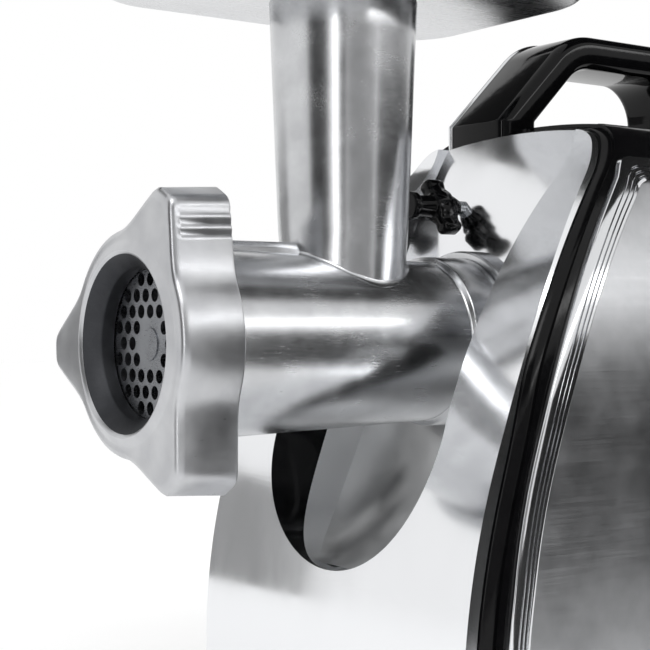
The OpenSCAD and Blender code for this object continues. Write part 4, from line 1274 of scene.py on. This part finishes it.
bm = bmesh.new()
rim_z = TRAY_HIGH[2]
loops = [tray_loop(rim_z - 3.0, 4.4), tray_loop(rim_z - 2.6, 1.0), tray_loop(rim_z - 1.9, 0.2),
         tray_loop(rim_z - 1.0, 0.0), tray_loop(rim_z - 0.3, 0.4), tray_loop(rim_z, 1.4),
         tray_loop(rim_z - 0.1, 4.0), tray_loop(rim_z - 0.8, 5.6), tray_loop(rim_z - 3.5, 6.4)]
loops += [tray_loop(z, inset) for z, inset in dish(TRAY_T)]
loops += [tray_round(TRAY_FLOOR + TRAY_T, THROAT_R + 3.5),
          tray_round(TRAY_FLOOR + TRAY_T - 0.5, THROAT_R + 0.8),
          tray_round(TRAY_FLOOR + TRAY_T - 2.0, THROAT_R), tray_round(NECK_TOP - 12, THROAT_R),
          tray_round(NECK_TOP - 12, THROAT_R + 1.9), tray_round(TRAY_FLOOR, THROAT_R + 1.9)]
loops += [tray_loop(z, inset) for z, inset in reversed(dish(0.0))]
loft(bm, loops + [loops[0]])
make_piece(bm, "pressed_tray", "tray", TRAY_METAL, ("filler_tray",), crisp=40)

# %% [markdown]
# ## Pusher
# A plunger that fills the throat, with a flange that stops it on the tray and a mushroom grip. It is
# moulded, but round all over, so body and cap are both spun sections with generous rounds.
# %% Pusher
PUSH_LOW = local("pusher_body")[0]
FLANGE_Z = TRAY_FLOOR + TRAY_T + 0.3
CAP_LOW, CAP_HIGH = local("pusher_cap")
PUSH_R = THROAT_R - 0.6
bm = bmesh.new()
turn(bm, rounded_section([
    (PUSH_LOW[2], 0.0, 0), (PUSH_LOW[2], PUSH_R - 0.2, 1.6), (FLANGE_Z, PUSH_R - 0.2, 0.5),
    (FLANGE_Z, PUSH_R + 6.8, 0.9), (FLANGE_Z + 4, PUSH_R + 6.8, 1.2), (FLANGE_Z + 4, PUSH_R, 4.0),
    (FLANGE_Z + 16, 15.0, 9.0), (FLANGE_Z + 46, 15.0, 9.0), (CAP_LOW[2] + 4, PUSH_R - 1.2, 1.0),
    (CAP_LOW[2] + 4, 0.0, 0)], 7), "z", (NECK_X, 0, 0), 96, closed=False)
make_piece(bm, "turned_pusher", "pusher", GLOSS_BLACK, ("pusher_body",))
bm = bmesh.new()
turn(bm, rounded_section([
    (CAP_LOW[2] + 4.2, 0.0, 0), (CAP_LOW[2] + 4.2, PUSH_R - 1.2, 0.4), (CAP_HIGH[2], PUSH_R - 1.2, 2.6),
    (CAP_HIGH[2], 10.0, 1.0), (CAP_HIGH[2] - 1.2, 8.0, 1.0), (CAP_HIGH[2] - 1.2, 0.0, 0)], 6),
     "z", (NECK_X, 0, 0), 96, closed=False)
make_piece(bm, "pusher_grip_cap", "pusher", SHELL_BLACK, ("pusher_cap",))

# %% [markdown]
# ## Studio
# A catalogue studio is a white floor that runs into white surroundings. A plain plane and a white
# world give that without a horizon. View transform Standard keeps the white truly white.
# %% Floor and world
bpy.ops.mesh.primitive_plane_add(size=12, location=(0, 0, 0))
floor_plane = bpy.context.object
floor_plane.name = "studio_floor"
floor_material, _, principled, _ = new_material("studio_paper", Roughness=0.9)
principled.inputs["Base Color"].default_value = colour("#FFFFFF")
floor_plane.data.materials.append(floor_material)

world = bpy.data.worlds.new("studio")
world.use_nodes = True
bpy.context.scene.world = world
world.node_tree.nodes.clear()
background = node(world.node_tree, "ShaderNodeBackground",
                  inputs={"Color": colour("#FFFFFF"), "Strength": 1.0})
node(world.node_tree, "ShaderNodeOutputWorld", links={"Surface": background.outputs[0]})
bpy.context.scene.view_settings.view_transform = "Standard"
print("floor", floor_plane.dimensions.x, "m wide")

# %% [markdown]
# ## Camera
# The camera stands close to the machine, at the height of its axis, and looks at it from the front
# right with a long lens. Only the head's rear, the neck and the housing's front are in the frame.
# %% Camera
VIEW_YAW = 0.956
VIEW_PITCH = -0.002
CAMERA_AT = Vector((-251.85, -481.65, 7.94))
camera_data = bpy.data.cameras.new("camera")
camera_data.sensor_width = 36.0
camera_data.lens = 83.08
camera = bpy.data.objects.new("camera", camera_data)
bpy.context.scene.collection.objects.link(camera)
camera.location = TO_FRAME @ CAMERA_AT
look = Vector((math.cos(VIEW_YAW) * math.cos(VIEW_PITCH), math.sin(VIEW_YAW) * math.cos(VIEW_PITCH),
               math.sin(VIEW_PITCH)))
camera.rotation_euler = look.to_track_quat("-Z", "Y").to_euler()
bpy.context.scene.camera = camera
print("camera", [round(c, 3) for c in camera.location], "lens", camera_data.lens)


# %% [markdown]
# ## Lights and cards
# Polished metal shows its surroundings, not its lamps. One soft key lights the machine, and two thin
# strips draw the long highlights on barrel and neck. Grey and black cards, unseen by the camera, give
# the metal its dark bands. They cast no shadow, so the floor stays white.
# %% Lights and cards
def soft_box(name, at, target, size, power):
    data = bpy.data.lights.new(name, "AREA")
    data.shape = "RECTANGLE"
    data.size, data.size_y = size
    data.energy = power
    light = bpy.data.objects.new(name, data)
    light.location = at
    light.rotation_euler = (Vector(target) - Vector(at)).to_track_quat("-Z", "Y").to_euler()
    bpy.context.scene.collection.objects.link(light)
    return light


MIDDLE = Vector((-0.05, 0, 0.19))


def flag(name, at, size, turn_z, code):
    """An upright card, turned about the vertical so that it faces the machine."""
    bpy.ops.mesh.primitive_plane_add(size=1, location=at)
    made = bpy.context.object
    made.name = name
    made.scale = (size[0], size[1], 1)
    made.rotation_euler = (math.pi / 2 if turn_z is not None else 0, 0, math.radians(turn_z or 0))
    material, _, principled, _ = new_material(name + "_cloth", Roughness=1.0)
    principled.inputs["Base Color"].default_value = colour(code)
    made.data.materials.append(material)
    made.visible_camera = False
    made.visible_shadow = False
    made.visible_diffuse = False
    return made


def around(degrees, distance, height):
    """A place round the machine; degrees are measured from the camera's side, right is positive."""
    heading = VIEW_YAW + math.pi + math.radians(degrees)
    return (-0.06 + distance * math.cos(heading), distance * math.sin(heading), height)


def upright(name, degrees, width, height, low, code):
    middle = around(degrees, 1.2, low + height / 2)
    facing = math.degrees(VIEW_YAW) + 180 + degrees + 90
    flag(name, middle, (width, height), facing, code)


soft_box("key", (-0.7, -1.1, 1.6), (0, 0, 0.2), (0.9, 0.6), 7)
soft_box("streak", around(64, 1.35, 0.72), MIDDLE, (1.3, 0.10), 1.9)
soft_box("neck_streak", around(-13, 1.3, 0.42), MIDDLE, (0.07, 0.7), 1.3)
flag("overhead_flag", (0.78, 0.1, 1.15), (1.0, 1.7), None, "#0A0A0A")
upright("left_flag", -40, 0.70, 1.1, 0.0, "#101010")
upright("back_left_card", -126, 0.75, 0.34, 0.0, "#8E8E8E")
upright("back_high_card", -126, 1.7, 0.9, 1.16, "#3C3C3C")
upright("camera_flag", -2, 0.24, 0.9, 0.0, "#202020")
upright("front_right_card", 29, 0.95, 0.50, 0.0, "#8E8E8E")
upright("right_card", 92, 1.7, 0.46, 0.0, "#1C1C1C")
upright("recess_flag", 20, 0.6, 0.42, 0.62, "#060606")
flag("floor_flag", (0.62, -0.80, 0.004), (1.1, 1.0), None, "#1A1A1A")
